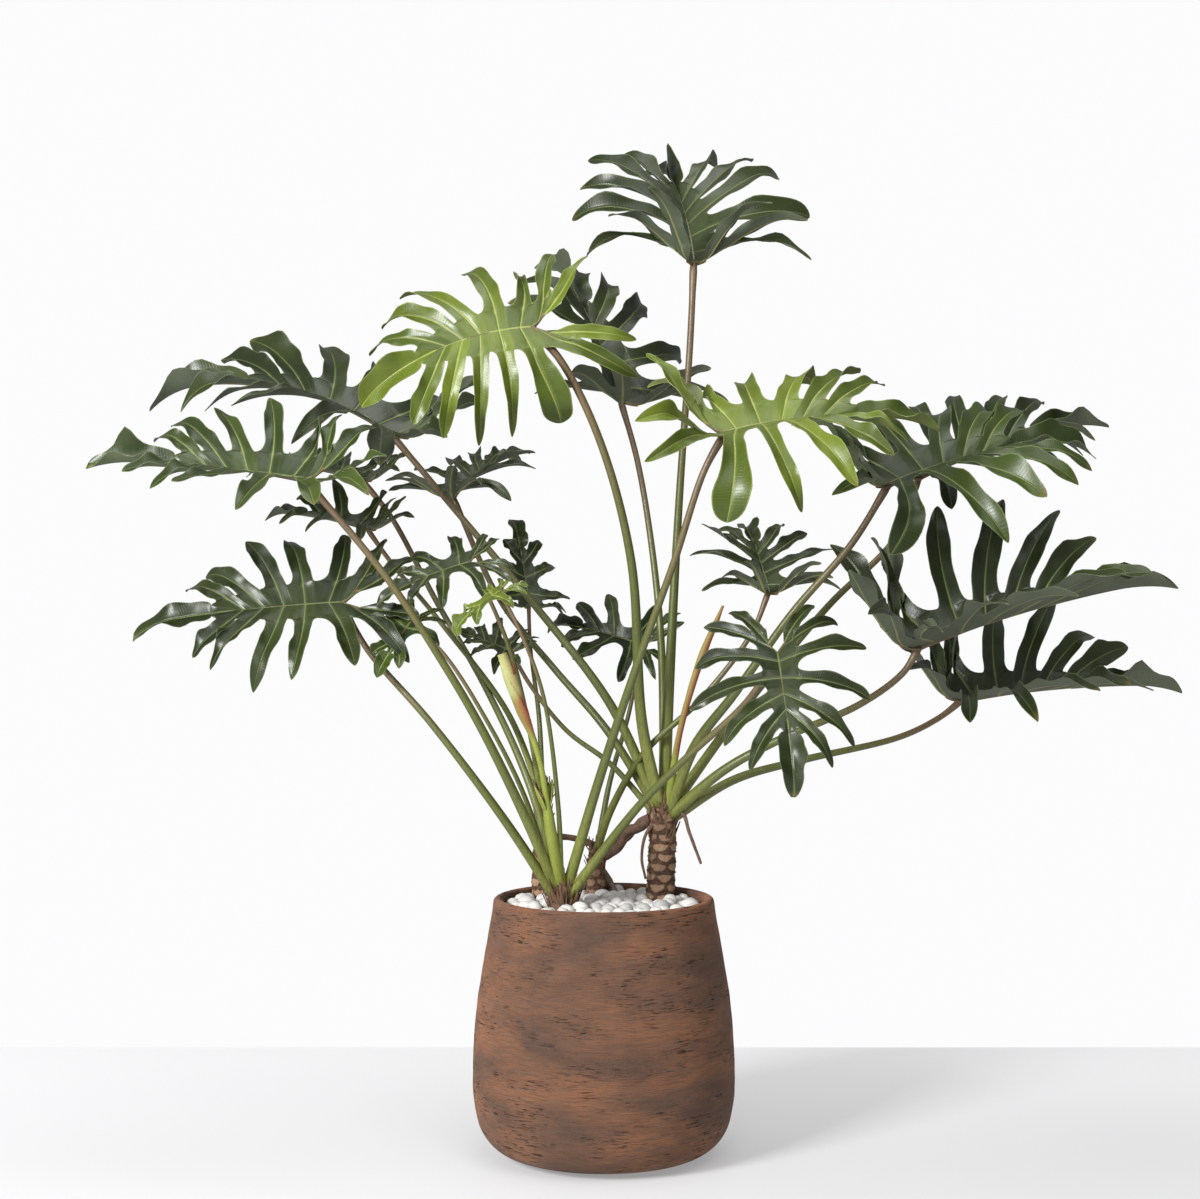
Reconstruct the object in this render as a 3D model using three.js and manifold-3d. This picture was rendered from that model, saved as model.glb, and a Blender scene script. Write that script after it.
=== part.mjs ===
import * as THREE from 'three';
import { mergeGeometries, mergeVertices } from 'three/addons/utils/BufferGeometryUtils.js';
import Module from 'manifold-3d';

// A potted plant with deeply cut leaves on long stalks.
// Millimetres, Z up, ground at Z = 0 under the middle of the pot, front towards -Y.

const wasm = await Module();
wasm.setup();

const RAD = Math.PI / 180;

// Clearance between neighbours, and how far a cutter is grown to leave it
const GAP = 0.3;
const CUTTER_GROWTH = 0.42;
const BLADE_GROWTH = 0.6;
const WALL_CLEARANCE = 0.48;

// Pot outline as radius and height, turned round the middle
const POT_SIDES = 28;
const POT_OUTSIDE = [
  [0, 0], [98, 0], [138, 12], [158, 33], [168, 68], [170.3, 106],
  [165, 192], [155.4, 257], [146, 309], [143, 329], [140, 334], [134, 334], [131, 330],
];
const POT_INSIDE = [[141, 262], [155, 130], [150, 60], [118, 18], [0, 18]];
const POT_FLOOR = 18;
const SOIL_TOP = 300;

// Stone bed: rings of radius and count
const STONE_BED_BOTTOM = SOIL_TOP + GAP;
const STONE_BED_TOP = 314;
const STONE_RADIUS = 17;
const STONE_SIDES = 5;
const STONE_ROWS = 3;
const STONE_RINGS = [[0, 1], [37, 6], [74, 12], [112, 19]];
const STONE_SQUASH = [1, 0.86, 0.66];
const STONE_RISE = 1;
const STONE_JITTER = { size: 0.14, tilt: 0.3, turn: 0.3, away: 2, height: 1.5 };

// Upright stems: foot, top, radius at foot and at top, rows of leaf scars
const TRUNK_FOOT = SOIL_TOP + GAP;
const TRUNKS = [
  {
    name: 'trunk_right', colour: '#5b4433', rows: 11,
    foot: [74, 60], top: [80, 48, 462], radius: [19, 16.5],
  },
  {
    name: 'trunk_left', colour: '#6b5138', rows: 11,
    foot: [-84, 74], top: [-82, 72, 476], radius: [12.5, 9.5],
  },
  {
    name: 'crown_front', colour: '#584634', rows: 4,
    foot: [-52, -20], top: [-53, -22, 348], radius: [22, 13],
  },
  {
    name: 'crown_back', colour: '#6a4a33', rows: 7,
    foot: [-10, 98], top: [-10, 96, 388], radius: [15, 9],
  },
];
const TRUNK_SIDES = 10;
const TRUNK_CROWN_SHRINK = 0.55;
const SCAR_RELIEF = 1.3;

// Bare woody strands: route, radius at start and end
const STRANDS = [
  {
    name: 'rhizome', colour: '#6b4a35', radius: [7.5, 6.5],
    route: [[72, 58, 440], [48, 80, 416], [32, 94, 408], [22, 104, 390], [8, 100, 378], [-10, 96, 372]],
  },
  {
    name: 'root_right', colour: '#5a4334', radius: [3, 1.8],
    route: [[80, 48, 448], [104, 36, 438], [112, 34, 415], [128, 36, 372]],
  },
  {
    name: 'root_left', colour: '#4d3a2e', radius: [2.6, 1.6],
    route: [[78, 50, 432], [56, 36, 412], [50, 34, 380], [55, 36, 352]],
  },
  {
    name: 'root_splay_left', colour: '#5f4633', radius: [6.5, 4],
    route: [[-12, 98, 366], [-26, 103, 340], [-38, 102, 306]],
  },
  {
    name: 'root_splay_right', colour: '#5f4633', radius: [6.5, 4],
    route: [[-8, 98, 362], [8, 105, 338], [22, 104, 306]],
  },
];

// Leaf outline as fractions of blade length, angles in degrees from the midrib
const SPINE_END = 0.5;
const LOBE_SPACING = 0.9;
const COSTA_LENGTH = 0.09;
const COSTA_ANGLE = 148;
const FRONT_ANGLES = [102, 86, 71, 58, 46, 36];
const FRONT_LENGTHS = [0.6, 0.62, 0.6, 0.56, 0.52, 0.46];
const REAR_ANGLES = [148, 123];
const REAR_LENGTHS = [0.46, 0.54];
const WEB_REACH = 0.11;
const REAR_WEB_GAIN = 0.6;
const REAR_WEB_FROM = 75;
const REAR_WEB_SPAN = 60;
const LOBE_HALF_WIDTH = 0.046;
const TIP_HALF_WIDTH = 0.075;
const LOBE_NECK = 0.22;
const TAPER_FROM = 0.45;
const TAPER_POWER = 2.2;
const LOBE_SWEEP = 9;
const LOBE_SAG = 0.05;
const LOBE_CUP = 0.22;
const HINGE = 0.15;
const LOBE_JITTER = { angle: 4, reach: 0.07, wide: 0.1 };
const USUAL_SIDE_LOBES = 6;
const LOBE_FILLING = 0.6;

// Blade section: how far the underside lies below the middle at margins, ribs and midrib
const MARGIN_DEPTH = 0.8;
const RIB_DEPTH = 1.6;
const SPINE_DEPTH = 3.4;
const SKIN = 0.4;

// Shares of a free lobe that get a row of points, on leaves seen close and on the others
const FINE_SHARES = [0.3, 0.72];
const PLAIN_SHARES = [0.5];

// Leaves. at: where stalk and blade meet. heading: 0 towards +X, 90 away from the front.
// pitch: rise of the midrib. roll: left side up. fold: each half raised about the midrib.
// droop: how far a half curls down by its lobe tips. arch and bend: how far the midrib
// curls down and to its left. cup: how far the rear lobes turn up. spread: lobe length
// against the usual. side: lobes along each side of the midrib. route: points that the
// stalk passes from inside its stem. thick: stalk radius at foot and blade.
const LEAVES = [
  {
    name: 'top', colour: '#26402b', seed: 1, side: 5, fine: true,
    at: [120, 60, 1170], heading: 95, pitch: 50, roll: 0, length: 300,
    fold: [42, 42], droop: [55, 55], arch: 25, bend: 8, cup: 85, spread: 1,
    route: [[80, 48, 450], [86, 47, 590], [100, 50, 850], [115, 56, 1065]], thick: [9, 4.6],
  },
  {
    name: 'bright_left', colour: '#6f9a24', seed: 2, side: 5, fine: true,
    at: [-90, -115, 1060], heading: 195, pitch: -5, roll: -30, length: 245,
    fold: [-38, 45], droop: [38, 60], arch: 45, bend: 0, cup: 30, spread: 1,
    route: [[74, 40, 448], [50, 15, 560], [35, -50, 770], [-5, -90, 920], [-55, -110, 1020]],
    thick: [9, 5],
  },
  {
    name: 'upper_back', colour: '#223a2a', seed: 3, side: 4, fine: false,
    at: [25, 150, 995], heading: 125, pitch: 60, roll: 0, length: 285,
    fold: [25, 25], droop: [40, 40], arch: 15, bend: 0, cup: 90, spread: 0.95,
    route: [[80, 60, 448], [80, 72, 560], [76, 84, 680], [64, 108, 800], [46, 135, 910]],
    thick: [7.5, 4.2],
  },
  {
    name: 'bright_centre', colour: '#5d8f2a', seed: 4, side: 5, fine: true,
    at: [145, -190, 923], heading: 5, pitch: 15, roll: 15, length: 275,
    fold: [48, 10], droop: [75, 80], arch: 25, bend: 0, cup: 50, spread: 0.95,
    route: [[-50, -20, 338], [-5, -80, 495], [43, -135, 645], [87, -170, 770], [121, -187, 875]],
    thick: [8, 4.4],
  },
  {
    name: 'right_front', colour: '#2c4d2c', seed: 5, side: 5, fine: true,
    at: [361, -60, 868], heading: 15, pitch: 22, roll: 10, length: 305,
    fold: [45, 10], droop: [50, 55], arch: 20, bend: 0, cup: 60, spread: 1,
    route: [[86, 42, 440], [120, 10, 530], [170, -20, 600], [243, -45, 705], [315, -57, 790]],
    thick: [8.5, 4.6],
  },
  {
    name: 'right_back', colour: '#25402b', seed: 6, side: 5, fine: false,
    at: [432, 150, 889], heading: 15, pitch: 22, roll: 10, length: 300,
    fold: [50, 20], droop: [40, 40], arch: 10, bend: 0, cup: 60, spread: 0.9,
    route: [[88, 54, 442], [180, 85, 565], [304, 120, 710], [400, 146, 805]], thick: [8, 4.4],
  },
  {
    name: 'far_right_upper', colour: '#203a2a', seed: 7, side: 5, fine: true,
    at: [405, -25, 660], heading: 0, pitch: 20, roll: 10, length: 345,
    fold: [50, 25], droop: [10, 10], arch: 10, bend: 0, cup: 60, spread: 1,
    route: [[88, 42, 436], [160, 5, 500], [230, -15, 540], [330, -25, 585], [385, -25, 625]],
    thick: [8, 4.4],
  },
  {
    name: 'far_right_lower', colour: '#203828', seed: 8, side: 5, fine: false,
    at: [485, 120, 585], heading: 0, pitch: 8, roll: 0, length: 300,
    fold: [58, 12], droop: [10, 15], arch: 8, bend: 0, cup: 55, spread: 0.95,
    route: [[88, 50, 428], [170, 50, 480], [260, 65, 505], [400, 100, 535], [455, 115, 560]],
    thick: [7.5, 4.2],
  },
  {
    name: 'facing', colour: '#213d2b', seed: 9, side: 4, fine: true,
    at: [210, -190, 655], heading: 275, pitch: -45, roll: 5, length: 190,
    fold: [5, 5], droop: [20, 20], arch: 25, bend: 0, cup: 0, spread: 1,
    route: [[-48, -26, 334], [45, -80, 460], [100, -115, 520], [175, -160, 595]],
    thick: [7.5, 4.2],
  },
  {
    name: 'mid_right', colour: '#22392a', seed: 10, side: 4, fine: false,
    at: [215, 5, 731], heading: 100, pitch: 45, roll: 0, length: 170,
    fold: [28, 28], droop: [30, 30], arch: 20, bend: 0, cup: 85, spread: 1,
    route: [[-10, 96, 380], [10, 70, 440], [55, 35, 520], [127, 10, 590], [192, 4, 675]],
    thick: [6, 3.6],
  },
  {
    name: 'left_upper', colour: '#2f5a2c', seed: 11, side: 5, fine: true,
    at: [-370, -120, 871], heading: 180, pitch: 8, roll: 0, length: 275,
    fold: [-8, 55], droop: [10, 15], arch: 5, bend: 0, cup: 35, spread: 0.85,
    route: [[-56, -24, 336], [-95, -70, 435], [-154, -100, 560], [-203, -112, 645], [-272, -120, 750]],
    thick: [8, 4.4],
  },
  {
    name: 'left_long', colour: '#233a2b', seed: 12, side: 5, fine: false,
    at: [-285, 100, 946], heading: 172, pitch: 32, roll: 0, length: 360,
    fold: [0, 40], droop: [20, 20], arch: 45, bend: 0, cup: 60, spread: 0.85,
    route: [[74, 46, 440], [10, 45, 580], [-98, 70, 720], [-221, 92, 866]], thick: [8, 4.4],
  },
  {
    name: 'inner_left', colour: '#1f3427', seed: 13, side: 4, fine: false,
    at: [-207, 150, 862], heading: 60, pitch: 35, roll: 0, length: 175,
    fold: [25, 25], droop: [30, 30], arch: 20, bend: 0, cup: 65, spread: 1,
    route: [[76, 56, 434], [5, 75, 545], [-66, 122, 625], [-142, 142, 720]], thick: [7, 4],
  },
  {
    name: 'small_left', colour: '#213828', seed: 14, side: 3, fine: false,
    at: [-313, 60, 815], heading: 175, pitch: 15, roll: 0, length: 140,
    fold: [5, 50], droop: [15, 15], arch: 10, bend: 0, cup: 40, spread: 1,
    route: [[-84, 72, 462], [-128, 66, 570], [-217, 62, 690], [-283, 61, 770]], thick: [5, 3.2],
  },
  {
    name: 'left_lower', colour: '#213a2a', seed: 15, side: 5, fine: false,
    at: [-338, -25, 717], heading: 185, pitch: -3, roll: -35, length: 275,
    fold: [-5, 25], droop: [15, 15], arch: 8, bend: 0, cup: 10, spread: 0.75,
    route: [[-58, -22, 330], [-130, -60, 445], [-222, -55, 565], [-303, -32, 655]],
    thick: [7.5, 4.2],
  },
  {
    name: 'left_back', colour: '#1f3427', seed: 16, side: 4, fine: false,
    at: [-329, 150, 885], heading: 170, pitch: 15, roll: 0, length: 170,
    fold: [5, 35], droop: [15, 15], arch: 15, bend: 0, cup: 40, spread: 0.75,
    route: [[-56, -16, 340], [-97, 5, 480], [-156, 72, 600], [-228, 118, 720], [-290, 145, 832]],
    thick: [6.5, 3.8],
  },
  {
    name: 'inner_olive', colour: '#44702c', seed: 17, side: 2, fine: false,
    at: [-247, -45, 692], heading: 235, pitch: -40, roll: -30, length: 90,
    fold: [0, 0], droop: [30, 30], arch: 20, bend: 0, cup: 0, spread: 1,
    route: [[-60, -18, 334], [-102, -45, 470], [-152, -50, 570], [-204, -48, 650]],
    thick: [4.5, 2.6],
  },
  {
    name: 'inner_dark', colour: '#2a4a2a', seed: 18, side: 3, fine: false,
    at: [-173, -50, 768], heading: 195, pitch: -15, roll: -30, length: 130,
    fold: [0, 20], droop: [30, 30], arch: 20, bend: 0, cup: 0, spread: 0.85,
    route: [[-84, 70, 466], [-100, 35, 560], [-120, -10, 650], [-149, -38, 725]],
    thick: [4.5, 2.8],
  },
  {
    name: 'inner_young', colour: '#8ea446', seed: 19, side: 2, fine: false,
    at: [-130, -120, 731], heading: 205, pitch: -30, roll: -20, length: 80,
    fold: [0, 0], droop: [20, 20], arch: 20, bend: 0, cup: 0, spread: 0.8,
    route: [[-54, -30, 338], [-58, -68, 460], [-76, -103, 600], [-104, -118, 680]],
    thick: [4, 2.6],
  },
  {
    name: 'inner_upright', colour: '#27452b', seed: 20, side: 3, fine: false,
    at: [-102, 145, 717], heading: 110, pitch: 65, roll: 0, length: 140,
    fold: [15, 15], droop: [20, 20], arch: 10, bend: 0, cup: 70, spread: 0.7,
    route: [[-82, 74, 468], [-87, 105, 560], [-100, 140, 655]], thick: [4.5, 2.8],
  },
  {
    name: 'inner_back', colour: '#1f3427', seed: 21, side: 3, fine: false,
    at: [-124, 80, 651], heading: 150, pitch: 20, roll: -45, length: 105,
    fold: [20, 20], droop: [20, 20], arch: 15, bend: 0, cup: 30, spread: 0.7,
    route: [[74, 54, 428], [10, 70, 500], [-50, 82, 545], [-98, 84, 605]], thick: [5, 3],
  },
  {
    name: 'inner_right', colour: '#1f3628', seed: 22, side: 3, fine: false,
    at: [50, 172, 658], heading: 165, pitch: 20, roll: -40, length: 145,
    fold: [10, 35], droop: [25, 25], arch: 20, bend: 0, cup: 30, spread: 0.85,
    route: [[-8, 98, 384], [8, 125, 470], [34, 158, 560], [46, 171, 620]], thick: [5, 3],
  },
];

// Shoots without a blade: route, radii along it
const SHOOTS = [
  {
    name: 'bud', colour: '#a9bd6a',
    route: [[-54, -24, 338], [-68, -62, 430], [-82, -84, 520], [-106, -90, 590], [-128, -88, 652]],
    radii: [9, 9, 7, 5, 4, 4.5, 7.5, 8, 2],
  },
  {
    name: 'spear', colour: '#9aa75a',
    route: [[84, 40, 446], [100, 10, 550], [125, 0, 640], [155, 0, 712]],
    radii: [6, 5, 4.2, 4, 4, 4.6, 5, 4, 1],
  },
];

// Sides round a stem and steps along it
const STRAND_STEPS = 7;
const SHOOT_STEPS = 8;
const SHOOT_SIDES = 6;
const STALK_SIDES = 5;
const STALK_STEPS = 7;
const STALK_COLOUR = '#5f7238';
const SPINE_STEPS = 16;
const WELD_REACH = 1e-3;

// Repeatable scatter between -1 and 1
function scatter(seed, index) {
  const wave = Math.sin(seed * 12.9898 + index * 78.233) * 43758.5453;
  return 2 * (wave - Math.floor(wave)) - 1;
}

function bare(geometry) {
  const copy = geometry.clone();
  copy.deleteAttribute('normal');
  copy.deleteAttribute('uv');
  return mergeVertices(copy, WELD_REACH);
}

// Exact solid joins and cuts
function toSolid(geometry) {
  const welded = bare(geometry);
  return new wasm.Manifold(new wasm.Mesh({
    numProp: 3,
    vertProperties: new Float32Array(welded.attributes.position.array),
    triVerts: new Uint32Array(welded.index.array),
  }));
}

function toGeometry(solid) {
  const mesh = solid.getMesh();
  const geometry = new THREE.BufferGeometry();
  geometry.setAttribute('position', new THREE.BufferAttribute(new Float32Array(mesh.vertProperties), 3));
  geometry.setIndex(new THREE.BufferAttribute(new Uint32Array(mesh.triVerts), 1));
  return geometry;
}

function largest(solid) {
  const pieces = solid.decompose();
  return pieces.reduce((best, piece) => (piece.volume() > best.volume() ? piece : best));
}

// The same closed surface pushed outwards all round
function grown(geometry, by) {
  const welded = bare(geometry);
  welded.computeVertexNormals();
  const { position, normal } = welded.attributes;
  for (let i = 0; i < position.count; i += 1) {
    const at = new THREE.Vector3().fromBufferAttribute(position, i);
    at.addScaledVector(new THREE.Vector3().fromBufferAttribute(normal, i), by);
    position.setXYZ(i, at.x, at.y, at.z);
  }
  return welded;
}

function cutBy(geometry, cutters) {
  let solid = toSolid(geometry);
  for (const cutter of cutters) {
    solid = solid.subtract(cutter);
  }
  return toGeometry(largest(solid));
}

// Round stem along a smooth route; radiusAt gives the radius at each share of the way
function stem(route, radiusAt, sides, steps) {
  const points = route.map((point) => new THREE.Vector3(...point));
  const curve = new THREE.CatmullRomCurve3(points, false, 'centripetal');
  const frames = curve.computeFrenetFrames(steps, false);
  const geometry = new THREE.CylinderGeometry(1, 1, 1, sides, steps);
  const position = geometry.attributes.position;
  for (let i = 0; i < position.count; i += 1) {
    const share = position.getY(i) + 0.5;
    const ring = Math.round(share * steps);
    const centre = curve.getPointAt(ring / steps);
    const radius = radiusAt(share);
    centre.addScaledVector(frames.binormals[ring], position.getX(i) * radius);
    centre.addScaledVector(frames.normals[ring], position.getZ(i) * radius);
    position.setXYZ(i, centre.x, centre.y, centre.z);
  }
  return bare(geometry);
}

// Upright stem with rows of lens-shaped leaf scars standing proud in a staggered lattice
function trunk({ foot, top, radius, rows }) {
  const geometry = new THREE.CylinderGeometry(1, 1, 1, TRUNK_SIDES, rows);
  const position = geometry.attributes.position;
  const start = new THREE.Vector3(foot[0], foot[1], TRUNK_FOOT);
  const axis = new THREE.Vector3(...top).sub(start);
  for (let i = 0; i < position.count; i += 1) {
    const share = position.getY(i) + 0.5;
    const row = Math.round(share * rows);
    const rim = Math.hypot(position.getX(i), position.getZ(i));
    const turn = Math.atan2(position.getZ(i), position.getX(i)) + (row % 2) * Math.PI / TRUNK_SIDES;
    const step = Math.round(turn * TRUNK_SIDES / (2 * Math.PI));
    const proud = (step + row) % 2 === 0 ? SCAR_RELIEF : -SCAR_RELIEF;
    const shrink = row === rows ? TRUNK_CROWN_SHRINK : 1;
    const reach = rim * (THREE.MathUtils.lerp(radius[0], radius[1], share) + proud) * shrink;
    const place = start.clone().addScaledVector(axis, share);
    position.setXYZ(i, place.x + reach * Math.cos(turn), place.y + reach * Math.sin(turn), place.z);
  }
  geometry.index.array.reverse();
  return bare(geometry);
}

function direction(degrees) {
  return new THREE.Vector2(Math.cos(degrees * RAD), Math.sin(degrees * RAD));
}

// Point on the flat outline's skeleton: midrib forwards, side branch backwards
function skeleton(along) {
  if (along >= 0) {
    return new THREE.Vector2(along, 0);
  }
  return direction(COSTA_ANGLE).multiplyScalar(-along);
}

// Value between the entries of a list
function between(list, rank) {
  const low = Math.min(list.length - 2, Math.max(0, Math.floor(rank)));
  return THREE.MathUtils.lerp(list[low], list[low + 1], rank - low);
}

// Lobes of one half, from the rearmost to the one next to the tip, in fractions of length
function lobesOf(leaf, left) {
  const rear = REAR_ANGLES.length;
  const starts = [-COSTA_LENGTH, -COSTA_LENGTH, 0];
  for (let i = 1; i <= leaf.side; i += 1) {
    starts.push(SPINE_END * (i / leaf.side) ** LOBE_SPACING);
  }
  const lobes = [];
  for (let i = 0; i < leaf.side + rear; i += 1) {
    const rank = (i - rear) * (FRONT_ANGLES.length - 1) / (leaf.side - 1);
    const angle = i < rear ? REAR_ANGLES[i] : between(FRONT_ANGLES, rank);
    const reach = i < rear ? REAR_LENGTHS[i] : between(FRONT_LENGTHS, rank);
    const chance = leaf.seed * 40 + i + (left ? 0 : 20);
    const filling = i < rear ? 1 : (USUAL_SIDE_LOBES / leaf.side) ** LOBE_FILLING;
    lobes.push({
      start: starts[i],
      end: starts[i + 1],
      angle: angle + LOBE_JITTER.angle * scatter(chance, 1),
      reach: reach * leaf.spread * (1 + LOBE_JITTER.reach * scatter(chance, 2)),
      wide: LOBE_HALF_WIDTH * filling * (1 + LOBE_JITTER.wide * scatter(chance, 3)),
      sag: LOBE_SAG * scatter(chance, 4),
    });
  }
  return lobes;
}

// Point and direction on a lobe's rib, which sweeps forwards in one smooth bow
function rib(lobe, share) {
  const base = skeleton((lobe.start + lobe.end) / 2);
  const knee = base.clone().addScaledVector(direction(lobe.angle + LOBE_SWEEP), lobe.reach / 2);
  const tip = knee.clone().addScaledVector(direction(lobe.angle - LOBE_SWEEP), lobe.reach / 2);
  const point = base.clone().multiplyScalar((1 - share) ** 2);
  point.addScaledVector(knee, 2 * share * (1 - share)).addScaledVector(tip, share ** 2);
  const tangent = knee.clone().sub(base).multiplyScalar(1 - share).addScaledVector(tip.sub(knee), share);
  return { point, tangent: tangent.normalize() };
}

// Bottom of the cut between two lobes
function notch(lobe, next) {
  const reach = WEB_REACH * (1 + REAR_WEB_GAIN * Math.max(0, (next.angle - REAR_WEB_FROM) / REAR_WEB_SPAN));
  return skeleton(lobe.end).addScaledVector(direction((lobe.angle + next.angle) / 2), reach);
}

// Half width along a lobe: a neck, widest past the middle, a blunt tip
function halfWidth(wide, share) {
  const neck = 1 - LOBE_NECK * (1 - share) ** 2;
  const past = Math.max(0, (share - TAPER_FROM) / (1 - TAPER_FROM));
  const close = Math.sqrt(Math.max(0, 1 - past ** TAPER_POWER));
  return wide * neck * close;
}

// Direction along the midrib after it has dipped and turned
function spineDirection(leaf, at) {
  const dip = at < 0 ? -leaf.cup * RAD * Math.min(1, -at / HINGE) : -leaf.arch * RAD * at;
  const yaw = leaf.bend * RAD * at;
  return new THREE.Vector3(Math.cos(dip) * Math.cos(yaw), Math.cos(dip) * Math.sin(yaw), Math.sin(dip));
}

// Maps the flat outline into space for one leaf. lift is a height off the surface.
function placer(leaf) {
  const pitch = leaf.pitch * RAD;
  const roll = leaf.roll * RAD;
  const flat = direction(leaf.heading);
  const ahead = new THREE.Vector3(Math.cos(pitch) * flat.x, Math.cos(pitch) * flat.y, Math.sin(pitch));
  const level = new THREE.Vector3(-flat.y, flat.x, 0);
  const raised = ahead.clone().cross(level);
  const leftward = level.clone().multiplyScalar(Math.cos(roll)).addScaledVector(raised, Math.sin(roll));
  const upward = ahead.clone().cross(leftward);
  return (p, q, lift) => {
    const half = q >= 0 ? 0 : 1;
    const curl = leaf.droop[half] * RAD / 0.5;
    const first = leaf.fold[half] * RAD;
    const last = first - curl * Math.abs(q);
    const out = (Math.sin(first) - Math.sin(last)) / curl - lift * Math.sin(last);
    const high = (Math.cos(last) - Math.cos(first)) / curl + lift * Math.cos(last);
    const spine = new THREE.Vector3();
    for (let i = 0; i < SPINE_STEPS; i += 1) {
      spine.addScaledVector(spineDirection(leaf, p * (i + 0.5) / SPINE_STEPS), p / SPINE_STEPS);
    }
    const along = spineDirection(leaf, p);
    const across = new THREE.Vector3(-along.y, along.x, 0).normalize();
    spine.addScaledVector(across, q >= 0 ? out : -out);
    spine.addScaledVector(along.cross(across), high);
    return new THREE.Vector3(...leaf.at)
      .addScaledVector(ahead, spine.x * leaf.length)
      .addScaledVector(leftward, spine.y * leaf.length)
      .addScaledVector(upward, spine.z * leaf.length);
  };
}

// Underside depth along the midrib, thinning towards the tip
function spineDepth(along) {
  return THREE.MathUtils.lerp(SPINE_DEPTH, RIB_DEPTH, Math.min(1, Math.abs(along) / SPINE_END));
}

// A point of the flat outline with its lift and its depth of underside
function spot(point, lift, depth) {
  return { p: point.x, q: point.y, lift, depth };
}

function spineSpot(along) {
  return spot(skeleton(along), 0, spineDepth(along));
}

// Rows of a free lobe from past its notches to the tip: one edge, rib, other edge
function freeRows(ribAt, wide, sag, shares) {
  const rows = shares.map((share) => {
    const { point, tangent } = ribAt(share);
    const width = halfWidth(wide, share);
    const aside = new THREE.Vector2(-tangent.y, tangent.x).multiplyScalar(width);
    const drop = sag * share ** 2;
    return [
      spot(point.clone().add(aside), LOBE_CUP * width + drop, MARGIN_DEPTH),
      spot(point, drop, RIB_DEPTH),
      spot(point.clone().sub(aside), LOBE_CUP * width + drop, MARGIN_DEPTH),
    ];
  });
  const tip = spot(ribAt(1).point, sag, MARGIN_DEPTH);
  return [...rows, [tip, tip, tip]];
}

// A lobe's rows laid into space as a strip; the right half is the left one mirrored
function strip(rows, side, place) {
  const geometry = new THREE.PlaneGeometry(1, 1, 2, rows.length - 1);
  const position = geometry.attributes.position;
  const depth = new Float32Array(position.count);
  rows.flat().forEach((at, i) => {
    const point = place(at.p, side * at.q, at.lift);
    position.setXYZ(i, point.x, point.y, point.z);
    depth[i] = at.depth;
  });
  geometry.setAttribute('depth', new THREE.BufferAttribute(depth, 1));
  geometry.deleteAttribute('normal');
  geometry.deleteAttribute('uv');
  if (side < 0) {
    geometry.index.array.reverse();
  }
  return geometry;
}

// Strips of one half's lobes, and the notch beside the lobe at the tip
function halfBlade(leaf, side, shares, place) {
  const lobes = lobesOf(leaf, side > 0);
  const tipLobe = { angle: 0 };
  const strips = lobes.map((lobe, i) => {
    const past = WEB_REACH * 1.05 / lobe.reach;
    const ribAt = (share) => rib(lobe, past + (1 - past) * share);
    const seat = ribAt(0);
    const aside = new THREE.Vector2(-seat.tangent.y, seat.tangent.x).multiplyScalar(lobe.wide);
    const inner = i === 0 ? seat.point.clone().add(aside) : notch(lobes[i - 1], lobe);
    const outer = notch(lobe, lobes[i + 1] || tipLobe);
    const rows = [
      [spineSpot(lobe.start), spineSpot((lobe.start + lobe.end) / 2), spineSpot(lobe.end)],
      [spot(inner, 0, MARGIN_DEPTH), spot(seat.point, 0, RIB_DEPTH), spot(outer, 0, MARGIN_DEPTH)],
      ...freeRows(ribAt, lobe.wide, lobe.sag, shares),
    ];
    return strip(rows, side, place);
  });
  return { strips, notchByTip: notch(lobes[lobes.length - 1], tipLobe) };
}

// Whole blade as a thin closed solid: two halves and the lobe at the tip between them
function blade(leaf) {
  const place = placer(leaf);
  const shares = leaf.fine ? FINE_SHARES : PLAIN_SHARES;
  const left = halfBlade(leaf, 1, shares, place);
  const right = halfBlade(leaf, -1, shares, place);
  const mirrored = right.notchByTip.clone().multiply(new THREE.Vector2(1, -1));
  const from = SPINE_END + WEB_REACH;
  const ribAt = (share) => ({
    point: new THREE.Vector2(from + (1 - from) * share, 0),
    tangent: new THREE.Vector2(1, 0),
  });
  const wide = TIP_HALF_WIDTH * Math.sqrt(USUAL_SIDE_LOBES / leaf.side);
  const rows = [
    [spineSpot(SPINE_END), spineSpot(SPINE_END), spineSpot(SPINE_END)],
    [
      spot(left.notchByTip, 0, MARGIN_DEPTH),
      spot(ribAt(0).point, 0, RIB_DEPTH),
      spot(mirrored, 0, MARGIN_DEPTH),
    ],
    ...freeRows(ribAt, wide, -LOBE_SAG / 2, shares),
  ];
  return thickened(mergeGeometries([...left.strips, ...right.strips, strip(rows, 1, place)]));
}

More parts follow.
